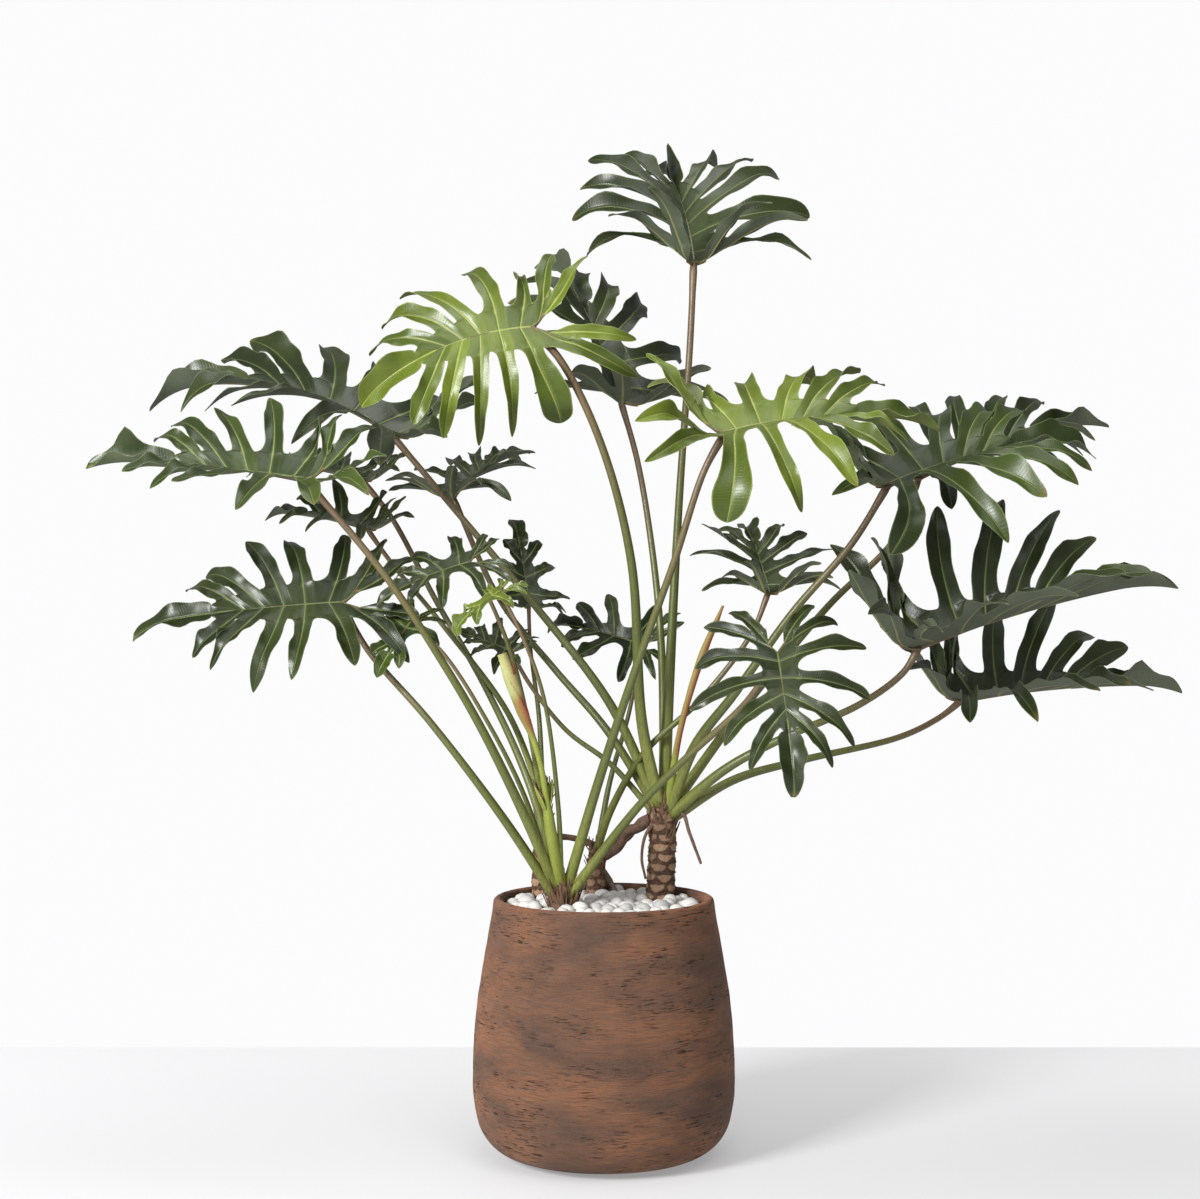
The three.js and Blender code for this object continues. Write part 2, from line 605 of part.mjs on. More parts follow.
// Closes a sheet into a thin solid with matching faces above and below
function thickened(sheet) {
  const welded = mergeVertices(sheet, WELD_REACH);
  const index = [...welded.index.array];
  const faces = [];
  for (let i = 0; i < index.length; i += 3) {
    const face = index.slice(i, i + 3);
    if (new Set(face).size === 3) {
      faces.push(face);
    }
  }
  welded.setIndex(faces.flat());
  welded.computeVertexNormals();
  const { position, normal, depth } = welded.attributes;
  const count = position.count;
  const points = new Float32Array(count * 6);
  for (let i = 0; i < count; i += 1) {
    const at = new THREE.Vector3().fromBufferAttribute(position, i);
    const up = new THREE.Vector3().fromBufferAttribute(normal, i);
    at.clone().addScaledVector(up, SKIN).toArray(points, i * 3);
    at.clone().addScaledVector(up, -depth.getX(i)).toArray(points, (count + i) * 3);
  }
  const triangles = [];
  const open = new Map();
  for (const [a, b, c] of faces) {
    triangles.push(a, b, c, count + a, count + c, count + b);
    for (const [from, to] of [[a, b], [b, c], [c, a]]) {
      if (!open.delete(`${to},${from}`)) {
        open.set(`${from},${to}`, [from, to]);
      }
    }
  }
  for (const [from, to] of open.values()) {
    triangles.push(to, from, count + from, to, count + from, count + to);
  }
  const solid = new THREE.BufferGeometry();
  solid.setAttribute('position', new THREE.BufferAttribute(points, 3));
  solid.setIndex(triangles);
  return solid;
}

function turned(outline) {
  return bare(new THREE.LatheGeometry(outline.map(([r, z]) => new THREE.Vector2(r, z)), POT_SIDES)
    .rotateX(Math.PI / 2));
}

// Radius of the pot's inner wall above the soil
function insideRadius(height) {
  const [lipRadius, lipHeight] = POT_OUTSIDE[POT_OUTSIDE.length - 1];
  const [lowRadius, lowHeight] = POT_INSIDE[0];
  return THREE.MathUtils.mapLinear(height, lowHeight, lipHeight, lowRadius, lipRadius);
}

// Soil fills the inside of the pot up to the stones, just clear of wall and floor
function soilOutline() {
  const wall = POT_INSIDE.slice(0, -1).reverse();
  const inside = wall.map(([r, z]) => [r - WALL_CLEARANCE, Math.max(z, POT_FLOOR + GAP)]);
  const top = [insideRadius(SOIL_TOP) - WALL_CLEARANCE, SOIL_TOP];
  return [[0, POT_FLOOR + GAP], ...inside, top, [0, SOIL_TOP]];
}

// White stones bedded in rings and fused with the layer they sit in
function stones() {
  let solid = toSolid(turned([
    [0, STONE_BED_BOTTOM],
    [insideRadius(STONE_BED_BOTTOM) - WALL_CLEARANCE, STONE_BED_BOTTOM],
    [insideRadius(STONE_BED_TOP) - WALL_CLEARANCE, STONE_BED_TOP],
    [0, STONE_BED_TOP],
  ]));
  let seed = 0;
  for (const [ring, number] of STONE_RINGS) {
    for (let i = 0; i < number; i += 1) {
      seed += 1;
      const stone = new THREE.SphereGeometry(STONE_RADIUS, STONE_SIDES, STONE_ROWS).rotateX(Math.PI / 2);
      const size = 1 + STONE_JITTER.size * scatter(seed, 1);
      stone.scale(...STONE_SQUASH.map((squash) => size * squash));
      stone.rotateX(STONE_JITTER.tilt * scatter(seed, 2));
      stone.rotateZ(Math.PI * scatter(seed, 3));
      const turn = 2 * Math.PI * (i + STONE_JITTER.turn * scatter(seed, 4)) / number;
      const away = ring + STONE_JITTER.away * scatter(seed, 5);
      const height = STONE_BED_TOP + STONE_RISE + STONE_JITTER.height * scatter(seed, 6);
      stone.translate(away * Math.cos(turn), away * Math.sin(turn), height);
      solid = solid.add(toSolid(stone));
    }
  }
  return toGeometry(solid);
}

function plantPart(name, geometry, colour, roughness) {
  const shown = geometry.toNonIndexed();
  shown.computeVertexNormals();
  const material = new THREE.MeshStandardMaterial({ color: colour, roughness, metalness: 0 });
  const mesh = new THREE.Mesh(shown, material);
  mesh.name = name;
  return mesh;
}

const plant = new THREE.Group();
plant.name = 'potted_plant';

const trunks = new Map(TRUNKS.map((entry) => [entry.name, trunk(entry)]));
const woody = [...trunks.values()].map((geometry) => toSolid(grown(geometry, CUTTER_GROWTH)));

// Stems are fitted one after another, each clear of what stands already
const standing = [...woody];

function fittedStem(route, radiusAt, sides, steps, besides = []) {
  const geometry = cutBy(stem(route, radiusAt, sides, steps), [...standing, ...besides]);
  standing.push(toSolid(stem(route, (share) => radiusAt(share) + CUTTER_GROWTH, sides, steps)));
  return geometry;
}

plant.add(plantPart('pot', turned([...POT_OUTSIDE, ...POT_INSIDE]), '#7a4a30', 0.9));
plant.add(plantPart('soil', turned(soilOutline()), '#3a2a20', 1));
for (const entry of TRUNKS) {
  plant.add(plantPart(entry.name, trunks.get(entry.name), entry.colour, 0.95));
}
for (const entry of STRANDS) {
  const radiusAt = (share) => THREE.MathUtils.lerp(entry.radius[0], entry.radius[1], share);
  const strand = fittedStem(entry.route, radiusAt, SHOOT_SIDES, STRAND_STEPS);
  plant.add(plantPart(entry.name, strand, entry.colour, 0.9));
}
plant.add(plantPart('pebbles', cutBy(stones(), standing), '#e9e6df', 0.8));
for (const leaf of LEAVES) {
  const sheet = blade(leaf);
  const radiusAt = (share) => leaf.thick[1] + (leaf.thick[0] - leaf.thick[1]) * (1 - share) ** 2;
  const clear = [toSolid(grown(sheet, BLADE_GROWTH)), toSolid(sheet)];
  const stalk = fittedStem([...leaf.route, leaf.at], radiusAt, STALK_SIDES, STALK_STEPS, clear);
  plant.add(plantPart(`stalk_${leaf.name}`, stalk, STALK_COLOUR, 0.6));
  plant.add(plantPart(`blade_${leaf.name}`, sheet, leaf.colour, 0.45));
}
for (const entry of SHOOTS) {
  const radiusAt = (share) => entry.radii[Math.round(share * SHOOT_STEPS)];
  const shoot = fittedStem(entry.route, radiusAt, SHOOT_SIDES, SHOOT_STEPS);
  plant.add(plantPart(entry.name, shoot, entry.colour, 0.6));
}

export default plant;
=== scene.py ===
"""A potted plant with deeply cut leaves on long stalks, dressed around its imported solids.

Metres, Z up, ground at Z = 0 under the middle of the pot, front towards -Y.
"""

import logging
import math
from collections.abc import Callable
from dataclasses import dataclass
from enum import Enum, IntEnum

import bmesh
import bpy
from mathutils import Matrix, Vector, noise


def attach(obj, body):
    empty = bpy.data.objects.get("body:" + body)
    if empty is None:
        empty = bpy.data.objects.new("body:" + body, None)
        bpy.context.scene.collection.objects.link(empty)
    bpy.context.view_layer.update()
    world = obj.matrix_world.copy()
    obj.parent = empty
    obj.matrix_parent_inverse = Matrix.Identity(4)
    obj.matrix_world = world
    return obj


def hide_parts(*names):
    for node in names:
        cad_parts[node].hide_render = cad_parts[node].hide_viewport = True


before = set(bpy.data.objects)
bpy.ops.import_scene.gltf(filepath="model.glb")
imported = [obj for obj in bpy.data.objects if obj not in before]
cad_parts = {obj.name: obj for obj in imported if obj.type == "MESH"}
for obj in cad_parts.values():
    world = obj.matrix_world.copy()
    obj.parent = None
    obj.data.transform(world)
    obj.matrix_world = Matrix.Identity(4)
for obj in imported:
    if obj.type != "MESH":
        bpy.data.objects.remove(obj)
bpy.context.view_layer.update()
log = logging.getLogger("plant")

CAMERA_PLACE = (-0.005, -2.75, 0.72)
CAMERA_LENS = 63.46
CAMERA_SENSOR = 36.0
FLOOR_BACK = 0.65
FLOOR_REACH = 5.0
SEED_STEP = 12.9898
DRAW_STEP = 78.233
SCATTER_GAIN = 43758.5453
GOLDEN_TURN = math.pi * (3.0 - math.sqrt(5.0))
# A Mix node's sockets for colours, by number because their names repeat
MIX_SHARE, MIX_FIRST, MIX_SECOND, MIX_RESULT = 0, 6, 7, 2

Point = tuple[float, float, float]
Colour = tuple[float, float, float]


class Draw(IntEnum):
    """What a chance value is drawn for. Pieces of different kinds may share a number."""

    LOBE_LEAN = 1
    LOBE_REACH = 2
    LOBE_WIDTH = 3
    LOBE_RISE = 4
    LOBE_TWIST = 11
    LOBE_HOOK = 12
    LOBE_WAVE = 13
    LOBE_SHADE = 14
    LOBE_CUP = 15
    RIPPLE = 21
    SPUR_SIZE = 23
    SPUR_PLACE = 25
    SCAR_SHIFT = 7
    SCAR_AGE = 8
    CHIP_HEIGHT = 31
    CHIP_TURN = 32
    CHIP_SIZE = 33
    CHIP_WIDTH = 34
    CHIP_LEAN = 35
    CHIP_FLARE = 36
    CHIP_SHADE = 37
    STONE_RIGHT = 1
    STONE_BACK = 2
    STONE_SIZE = 3
    STONE_TURN = 4
    STONE_TILT = 5
    STONE_HEIGHT = 6
    STONE_GREY = 7


def scatter(seed: float, draw: float) -> float:
    """Gives a repeatable value between -1 and 1 for a thing's number and what is drawn."""
    wave = math.sin(seed * SEED_STEP + draw * DRAW_STEP) * SCATTER_GAIN
    return 2.0 * (wave - math.floor(wave)) - 1.0


def lerp(first: float, last: float, share: float) -> float:
    """Gives the value a share of the way from first to last."""
    return first + (last - first) * share


def eased(low: float, high: float, value: float) -> float:
    """Rises smoothly from 0 where value is low to 1 where it is high."""
    share = min(1.0, max(0.0, (value - low) / (high - low)))
    return share * share * (3.0 - 2.0 * share)


def heading(degrees: float) -> Vector:
    """Gives the flat unit vector that points so many degrees round from +X."""
    angle = math.radians(degrees)
    return Vector((math.cos(angle), math.sin(angle)))


def linked(name: str, data: bpy.types.ID) -> bpy.types.Object:
    """Puts a new object in the scene.

    Args:
        name: Its name.
        data: Its mesh, light or camera.

    Returns:
        The object.
    """
    thing = bpy.data.objects.new(name, data)
    bpy.context.scene.collection.objects.link(thing)
    return thing


class Route:
    """A smooth way through a few points, even in length along its course."""

    fineness: int = 16

    def __init__(self, points: tuple[Point, ...]) -> None:
        """Samples the curve.

        Args:
            points: The points that it passes.
        """
        stops = [Vector(point) for point in points]
        stops = [2 * stops[0] - stops[1], *stops, 2 * stops[-1] - stops[-2]]
        self.samples = []
        for before, start, end, after in zip(stops, stops[1:], stops[2:], stops[3:]):
            for step in range(self.fineness):
                share = step / self.fineness
                self.samples.append(self._between(before, start, end, after, share))
        self.samples.append(stops[-2])
        self.lengths = [0.0]
        for first, second in zip(self.samples, self.samples[1:]):
            self.lengths.append(self.lengths[-1] + (second - first).length)
        self.length = self.lengths[-1]
        self.frames = self._carried_frames()

    @staticmethod
    def _between(before: Vector, start: Vector, end: Vector, after: Vector, share: float) -> Vector:
        """Gives a point of the bow from start to end.

        Args:
            before: The stop before start.
            start: First stop of the bow.
            end: Last stop of the bow.
            after: The stop after end.
            share: How far along the bow.

        Returns:
            The point.
        """
        near = math.sqrt((start - before).length)
        span = math.sqrt((end - start).length)
        far = math.sqrt((after - end).length)
        leaving = (start - before) / near - (end - before) / (near + span) + (end - start) / span
        arriving = (end - start) / span - (after - start) / (span + far) + (after - end) / far
        leaving *= span
        arriving *= span
        cubed = 2 * start - 2 * end + leaving + arriving
        squared = -3 * start + 3 * end - 2 * leaving - arriving
        return start + leaving * share + squared * share ** 2 + cubed * share ** 3

    def _carried_frames(self) -> list[tuple[Vector, Vector]]:
        """Carries one cross direction along the curve without twisting it.

        Returns:
            For each sample, its direction and the cross direction.
        """
        frames = []
        across = Vector((1.0, 0.0, 0.0))
        last = len(self.samples) - 1
        for index in range(last + 1):
            ahead = self.samples[min(last, index + 1)] - self.samples[max(0, index - 1)]
            ahead.normalize()
            across = (across - ahead * across.dot(ahead)).normalized()
            frames.append((ahead, across.copy()))
        return frames

    def at(self, share: float) -> tuple[Vector, Vector, Vector, Vector]:
        """Gives the place and the three directions at a share of the length.

        Args:
            share: From 0 at the start to 1 at the end.

        Returns:
            The place, then ahead, across and aside.
        """
        wanted = min(1.0, max(0.0, share)) * self.length
        low = 0
        while low < len(self.samples) - 2 and self.lengths[low + 1] < wanted:
            low += 1
        part = (wanted - self.lengths[low]) / max(1e-9, self.lengths[low + 1] - self.lengths[low])
        place = self.samples[low].lerp(self.samples[low + 1], part)
        ahead = self.frames[low][0].lerp(self.frames[low + 1][0], part).normalized()
        across = self.frames[low][1].lerp(self.frames[low + 1][1], part).normalized()
        return place, ahead, across, ahead.cross(across)

    def facing(self, share: float, turn: float) -> tuple[Vector, Vector, Vector, Vector]:
        """Gives the place and the directions for something that stands off the route.

        Args:
            share: From 0 at the start to 1 at the end.
            turn: Which side it stands on.

        Returns:
            The place, then ahead, outward and sideways.
        """
        place, ahead, across, aside = self.at(share)
        outward = across * math.cos(turn) + aside * math.sin(turn)
        return place, ahead, outward, ahead.cross(outward)


class Mesh:
    """A bmesh with the named values that the finishes read from its points."""

    def __init__(self, *names: str) -> None:
        """Starts an empty mesh.

        Args:
            names: The vector values that each point carries.
        """
        self.bm = bmesh.new()
        self.layers = {name: self.bm.verts.layers.float_vector.new(name) for name in names}

    def mark(self, vert: bmesh.types.BMVert, name: str, value: Point) -> None:
        """Writes a named value on a point."""
        vert[self.layers[name]] = value

    def tube(
        self,
        route: Route,
        radius_at: Callable[[float, float], float],
        sides: int,
        steps: int,
        value_at: Callable[[float, float], Point],
    ) -> None:
        """Bends a sphere into a closed stem along a route.

        Args:
            route: Where the stem runs.
            radius_at: Radius for a share of the length and a turn round it.
            sides: Faces round the stem.
            steps: Faces along the stem.
            value_at: The value "spot" for the same share and turn.
        """
        made = bmesh.ops.create_uvsphere(self.bm, u_segments=sides, v_segments=steps, radius=1.0)
        for vert in made["verts"]:
            row = round(math.acos(max(-1.0, min(1.0, vert.co.z))) / math.pi * steps)
            share = min(1.0, max(0.0, (row - 1) / (steps - 2)))
            turn = math.atan2(vert.co.y, vert.co.x)
            place, _, outward, _ = route.facing(share, turn)
            radius = radius_at(share, turn) if 0 < row < steps else 0.0
            vert.co = place + outward * radius
            self.mark(vert, "spot", value_at(share, turn))

    def piece(
        self,
        name: str,
        slot: str,
        nodes: tuple[str, ...],
        material: bpy.types.Material,
        sharp: float = 180.0,
        recalculate: bool = True,
    ) -> None:
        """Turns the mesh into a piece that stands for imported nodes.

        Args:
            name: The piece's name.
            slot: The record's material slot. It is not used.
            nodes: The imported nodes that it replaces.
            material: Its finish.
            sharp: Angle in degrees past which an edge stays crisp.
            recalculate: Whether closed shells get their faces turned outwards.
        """
        if recalculate:
            bmesh.ops.recalc_face_normals(self.bm, faces=self.bm.faces[:])
        for face in self.bm.faces:
            face.smooth = True
        for edge in self.bm.edges:
            edge.smooth = edge.calc_face_angle(0.0) < math.radians(sharp)
        data = bpy.data.meshes.new(name)
        self.bm.to_mesh(data)
        self.bm.free()
        data.materials.append(material)
        piece = linked(name, data)
        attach(piece, "root")
        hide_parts(*nodes)
        log.info("%s: %d faces", name, len(data.polygons))


@dataclass(frozen=True)
class Value:
    """A number in a shader, which Python arithmetic turns into Math nodes."""

    graph: "Graph"
    socket: bpy.types.NodeSocket

    def _math(self, operation: str, *others: "Value | float", clamp: bool = False) -> "Value":
        """Adds a Math node.

        Args:
            operation: The node's operation.
            others: Its second and third operand.
            clamp: Whether the result is held between 0 and 1.

        Returns:
            The node's result.
        """
        settings = {"operation": operation, "use_clamp": clamp}
        inputs = dict(enumerate((self, *others)))
        return Value(self.graph, self.graph.node("ShaderNodeMath", settings, inputs).outputs[0])

    def __add__(self, other: "Value | float") -> "Value":
        """Adds."""
        return self._math("ADD", other)

    __radd__ = __add__

    def __mul__(self, other: "Value | float") -> "Value":
        """Multiplies."""
        return self._math("MULTIPLY", other)

    __rmul__ = __mul__

    def __sub__(self, other: "Value | float") -> "Value":
        """Subtracts."""
        return self._math("SUBTRACT", other)

    def __rsub__(self, other: "Value | float") -> "Value":
        """Subtracts from a number."""
        return self._math("MULTIPLY", -1.0)._math("ADD", other)

    def sine(self) -> "Value":
        """Takes the sine."""
        return self._math("SINE")

    def larger(self, other: "Value | float") -> "Value":
        """Takes the larger of two."""
        return self._math("MAXIMUM", other)

    def clamped(self) -> "Value":
        """Holds the value between 0 and 1."""
        return self._math("ADD", 0.0, clamp=True)

    def rise(self, low: "Value | float", high: "Value | float") -> "Value":
        """Rises smoothly from 0 to 1.

        Args:
            low: Where the rise starts.
            high: Where the rise ends.

        Returns:
            The rise.
        """
        settings = {"interpolation_type": "SMOOTHSTEP", "clamp": True}
        inputs = {"Value": self, "From Min": low, "From Max": high}
        node = self.graph.node("ShaderNodeMapRange", settings, inputs)
        return Value(self.graph, node.outputs["Result"])


class Graph:
    """The nodes of one finish."""

    def __init__(self, name: str) -> None:
        """Starts a material.

        Args:
            name: The material's name.
        """
        self.material = bpy.data.materials.new(name)
        self.material.use_nodes = True
        self.tree = self.material.node_tree
        self.tree.nodes.clear()
        self.place = self.node("ShaderNodeTexCoord", {}, {}).outputs["Object"]

    def node(self, kind: str, settings: dict, inputs: dict) -> bpy.types.Node:
        """Adds a node.

        Args:
            kind: The node's type.
            settings: Its properties, set before its inputs.
            inputs: Values or links by socket name or number.

        Returns:
            The node.
        """
        node = self.tree.nodes.new(kind)
        for key, value in settings.items():
            setattr(node, key, value)
        for key, value in inputs.items():
            socket = node.inputs[key]
            value = value.socket if isinstance(value, Value) else value
            if isinstance(value, bpy.types.NodeSocket):
                self.tree.links.new(value, socket)
            elif isinstance(value, tuple) and len(value) == 3 and socket.type == "RGBA":
                socket.default_value = (*value, 1.0)
            else:
                socket.default_value = value
        return node

    def attribute(self, name: str) -> tuple[Value, Value, Value]:
        """Reads a vector that the mesh's points carry.

        Args:
            name: The vector's name.

        Returns:
            Its three numbers.
        """
        read = self.node("ShaderNodeAttribute", {"attribute_name": name}, {})
        split = self.node("ShaderNodeSeparateXYZ", {}, {0: read.outputs["Vector"]})
        return tuple(Value(self, socket) for socket in split.outputs)

    def noise(
        self,
        scale: float,
        detail: float = 3.0,
        roughness: float = 0.55,
        upward: float | None = None,
    ) -> Value:
        """Makes a cloudy pattern around 0.5.

        Args:
            scale: Clouds in a metre.
            detail: Octaves.
            roughness: Strength of the fine octaves.
            upward: Clouds in a metre of height, or None for as many as across.

        Returns:
            The pattern.
        """
        inputs = {"Vector": self.place, "Scale": scale, "Detail": detail, "Roughness": roughness}
        if upward is not None:
            stretch = {"Vector": self.place, "Scale": (scale, scale, upward)}
            inputs["Vector"] = self.node("ShaderNodeMapping", {}, stretch).outputs[0]
            inputs["Scale"] = 1.0
        return Value(self, self.node("ShaderNodeTexNoise", {}, inputs).outputs[0])

    def cells(self, scale: float) -> Value:
        """Gives the distance to the nearest cell's middle, for so many cells in a metre."""
        node = self.node("ShaderNodeTexVoronoi", {}, {"Vector": self.place, "Scale": scale})
        return Value(self, node.outputs["Distance"])

    def layered(self, base: object, *layers: tuple[object, object]) -> bpy.types.NodeSocket:
        """Lays colours over a first one, each as strongly as its mask says.

        Args:
            base: The first colour, or a link to one.
            layers: Mask and colour of each layer, lowest first.

        Returns:
            The colour on top.
        """
        settings = {"data_type": "RGBA", "clamp_factor": True}
        for mask, colour in layers:
            inputs = {MIX_SHARE: mask, MIX_FIRST: base, MIX_SECOND: colour}
            base = self.node("ShaderNodeMix", settings, inputs).outputs[MIX_RESULT]
        return base

    def shade(
        self,
        colour: bpy.types.NodeSocket,
        roughness: Value | float,
        height: Value,
        depth: float,
        **others: object,
    ) -> None:
        """Ends the finish in its shader.

        Args:
            colour: The surface's colour.
            roughness: Its roughness.
            height: Relief from 0 to 1.
            depth: Height of that relief in metres.
            others: Values or links of the shader's other sockets, with _ for a space.
        """
        relief = self.node("ShaderNodeBump", {}, {"Height": height, "Distance": depth})
        inputs = {"Base Color": colour, "Roughness": roughness, "Normal": relief.outputs[0]}
        for key, value in others.items():
            inputs[key.replace("_", " ")] = value
        shader = self.node("ShaderNodeBsdfPrincipled", {}, inputs)
        self.node("ShaderNodeOutputMaterial", {}, {"Surface": shader.outputs[0]})


class Finish:
    """What a piece is made of. Each kind lays its own pattern."""

    def make(self, name: str) -> bpy.types.Material:
        """Builds the material.

        Args:
            name: The material's name.

        Returns:
            The material.
        """
        graph = Graph(name)
        self.paint(graph)
        return graph.material

    def paint(self, graph: Graph) -> None:
        """Lays the pattern, which each kind of finish does in its own way."""
        raise NotImplementedError


class Tone(Enum):
    """The greens that the leaves come in, old to young."""

    DARK = "leaf_dark"
    MID = "leaf_green"
    LIME = "leaf_lime"


@dataclass(frozen=True)
class LeafFinish(Finish):
    """A satin blade with pale veins, thin light margins and a dull underside."""

    deep: Colour
    fresh: Colour
    vein: Colour
    margin: Colour
    under: Colour
    bronze: Colour = (0.30, 0.13, 0.075)
    # The leaf's pale web colour is a painted sheen: it stands in for the satin highlight on the web near
    # the midrib.
    bloom_and_sheen: Colour = (0.40, 0.43, 0.36)
    dry: Colour = (0.16, 0.12, 0.035)
    rib_width: float = 0.0009
    midrib_width: float = 0.0017
    margin_width: tuple[float, float] = (0.0003, 0.0011)
    side_veins: float = 210.0
    side_slant: float = 520.0
    under_mottle: float = 0.72
    gloss: float = 0.34

    def paint(self, graph: Graph) -> None:
        """Lays veins, margins, dry tips and a faint painted sheen on the top, and broad bronze ribs below.

        Args:
            graph: The material's nodes.
        """
        rib, midrib, edge = graph.attribute("vein")
        along, forward, under = graph.attribute("spot")
        shade, costa, _ = graph.attribute("tone")
        clouds = graph.noise(9.0)
        mottle = graph.noise(120.0, 4.0, 0.6)
        fresh = (clouds * 1.3 + mottle * 0.35 + shade * 0.35 - 0.55).clamped()
        rib_reach = self.rib_width * (1.0 - 0.7 * along)
        ribs = 1.0 - rib.rise(0.35 * rib_reach, 1.15 * rib_reach)
        halo = 1.0 - rib.rise(0.0, 4.5 * rib_reach)
        midrib_reach = self.midrib_width * (1.0 - 0.55 * forward)
        midribs = 1.0 - midrib.rise(0.45 * midrib_reach, midrib_reach)
        veins = ribs.larger(midribs)
        slanted = along * self.side_veins - rib * self.side_slant + mottle * 1.6
        side_veins = (slanted.sine() * 0.5 + 0.5).rise(0.9, 1.0)
        # Painted sheen: the web near the midrib is tinted towards a pale colour where a satin highlight
        # would show.
        web = (1.0 - along.rise(0.0, 0.3)) * clouds.rise(0.36, 0.62)
        rim = 1.0 - edge.rise(*self.margin_width)
        worn = along.rise(0.9, 1.0) * clouds.rise(0.5, 0.62)
        broad_ribs = 1.0 - rib.rise(0.7 * rib_reach, 2.0 * rib_reach)
        above = graph.layered(
            self.deep,
            (fresh, self.fresh),
            (halo * 0.14 + side_veins * 0.04, self.vein),
            (web * 0.03, self.bloom_and_sheen),
            (veins * (0.58 - along * 0.2), self.vein),
            (rim * 0.4, self.margin),
            (worn * 0.55, self.dry),
        )
        below = graph.layered(
            self.under,
            (mottle, tuple(self.under_mottle * part for part in self.under)),
            (broad_ribs * 0.85, graph.layered(self.vein, (0.2, self.bronze))),
            (midribs * 0.9, self.bronze),
        )
        colour = graph.layered(above, (under.rise(0.35, 0.65), below), (costa * 0.75, self.bronze))
        quilt = halo * -0.6 + side_veins * -0.07 + mottle * 0.12 + veins * 0.4
        gloss = self.gloss + under * 0.2 + mottle * 0.1 - 0.05
        graph.shade(colour, gloss, quilt, depth=0.0009, Specular_IOR_Level=0.4)


@dataclass(frozen=True)
class StalkFinish(Finish):
    """A smooth stalk, yellow-green where it sheathes the stem and brown towards the blade."""

    foot: Colour = (0.27, 0.29, 0.060)
    middle: Colour = (0.080, 0.094, 0.014)
    head: Colour = (0.150, 0.078, 0.050)
    streak: Colour = (0.045, 0.058, 0.014)
    fleck: Colour = (0.27, 0.28, 0.12)

    def paint(self, graph: Graph) -> None:
        """Blends the greens and the brown along the stalk, under streaks and flecks.

        Args:
            graph: The material's nodes.
        """
        along, brown, pale = graph.attribute("spot")
        streaks = graph.noise(420.0, 4.0, 0.6, upward=18.0)
        flecks = graph.noise(700.0, 2.0, 0.5)
        colour = graph.layered(
            self.middle,
            (pale * (1.0 - along.rise(0.02, 0.3)), self.foot),
            (brown * along.rise(0.45, 0.98), self.head),
            (streaks.rise(0.42, 0.7) * 0.55, self.streak),
            (flecks.rise(0.58, 0.75) * 0.25, self.fleck),
        )
        relief = streaks * 0.8 + flecks * 0.2
        graph.shade(colour, 0.36 + streaks * 0.1, relief, depth=0.0003, Specular_IOR_Level=0.5)


@dataclass(frozen=True)
class BarkFinish(Finish):
    """Dark flaky bark with tan leaf scars and papery chips."""

    dark: Colour = (0.050, 0.030, 0.020)
    brown: Colour = (0.21, 0.115, 0.070)
    scar: Colour = (0.54, 0.355, 0.225)
    scar_stain: Colour = (0.27, 0.165, 0.10)
    chip: Colour = (0.27, 0.16, 0.095)
    chip_stain: Colour = (0.10, 0.058, 0.036)

    def paint(self, graph: Graph) -> None:
        """Lays scars, dark ridges and papery chips over the fibrous bark.

        Args:
            graph: The material's nodes.
        """
        scar, ridge, chip = graph.attribute("spot")
        rough = graph.noise(260.0, 5.0, 0.7)
        fine = graph.noise(900.0, 3.0, 0.6)
        fibre = graph.noise(1300.0, 4.0, 0.7, upward=160.0)
        colour = graph.layered(
            self.dark,
            ((rough * 1.9 + fibre * 0.5 - 0.75).clamped(), self.brown),
            (
                scar * (0.55 + rough * 0.6).clamped(),
                graph.layered(self.scar, (fine.rise(0.35, 0.7), self.scar_stain)),
            ),
            (ridge * 0.75, self.dark),
            (chip, graph.layered(self.chip, (fibre.rise(0.3, 0.7), self.chip_stain))),
        )
        relief = rough * 0.6 + fine * 0.25 + fibre * 0.3
        graph.shade(
            colour,
            0.78 + fine * 0.12,
            relief,
            depth=0.0014,
            Specular_IOR_Level=0.25,
            Diffuse_Roughness=0.6,
        )


@dataclass(frozen=True)
class RootFinish(Finish):
    """Smooth woody roots with a greyish bloom and small ring marks."""

    dark: Colour = (0.065, 0.032, 0.021)
    light: Colour = (0.23, 0.135, 0.09)
    rubbed: Colour = (0.34, 0.24, 0.17)
    bloom_and_sheen: Colour = (0.30, 0.25, 0.20)
    rings: float = 260.0

    def paint(self, graph: Graph) -> None:
        """Lays rubbed spots and bloom over the browns.

        Args:
            graph: The material's nodes.
        """
        along, _, grey = graph.attribute("spot")
        clouds = graph.noise(150.0, 4.0, 0.65)
        fine = graph.noise(800.0, 3.0, 0.6)
        rings = (along * self.rings + clouds * 9.0).sine() * 0.5 + 0.5
        colour = graph.layered(
            self.dark,
            ((clouds * 1.7 - 0.4).clamped(), self.light),
            (fine.rise(0.55, 0.75) * 0.4, self.rubbed),
            (grey * fine.rise(0.3, 0.7), self.bloom_and_sheen),
        )
        relief = clouds * 0.5 + rings * 0.22 + fine * 0.3
        graph.shade(colour, 0.66 + fine * 0.14, relief, depth=0.0009, Specular_IOR_Level=0.3)


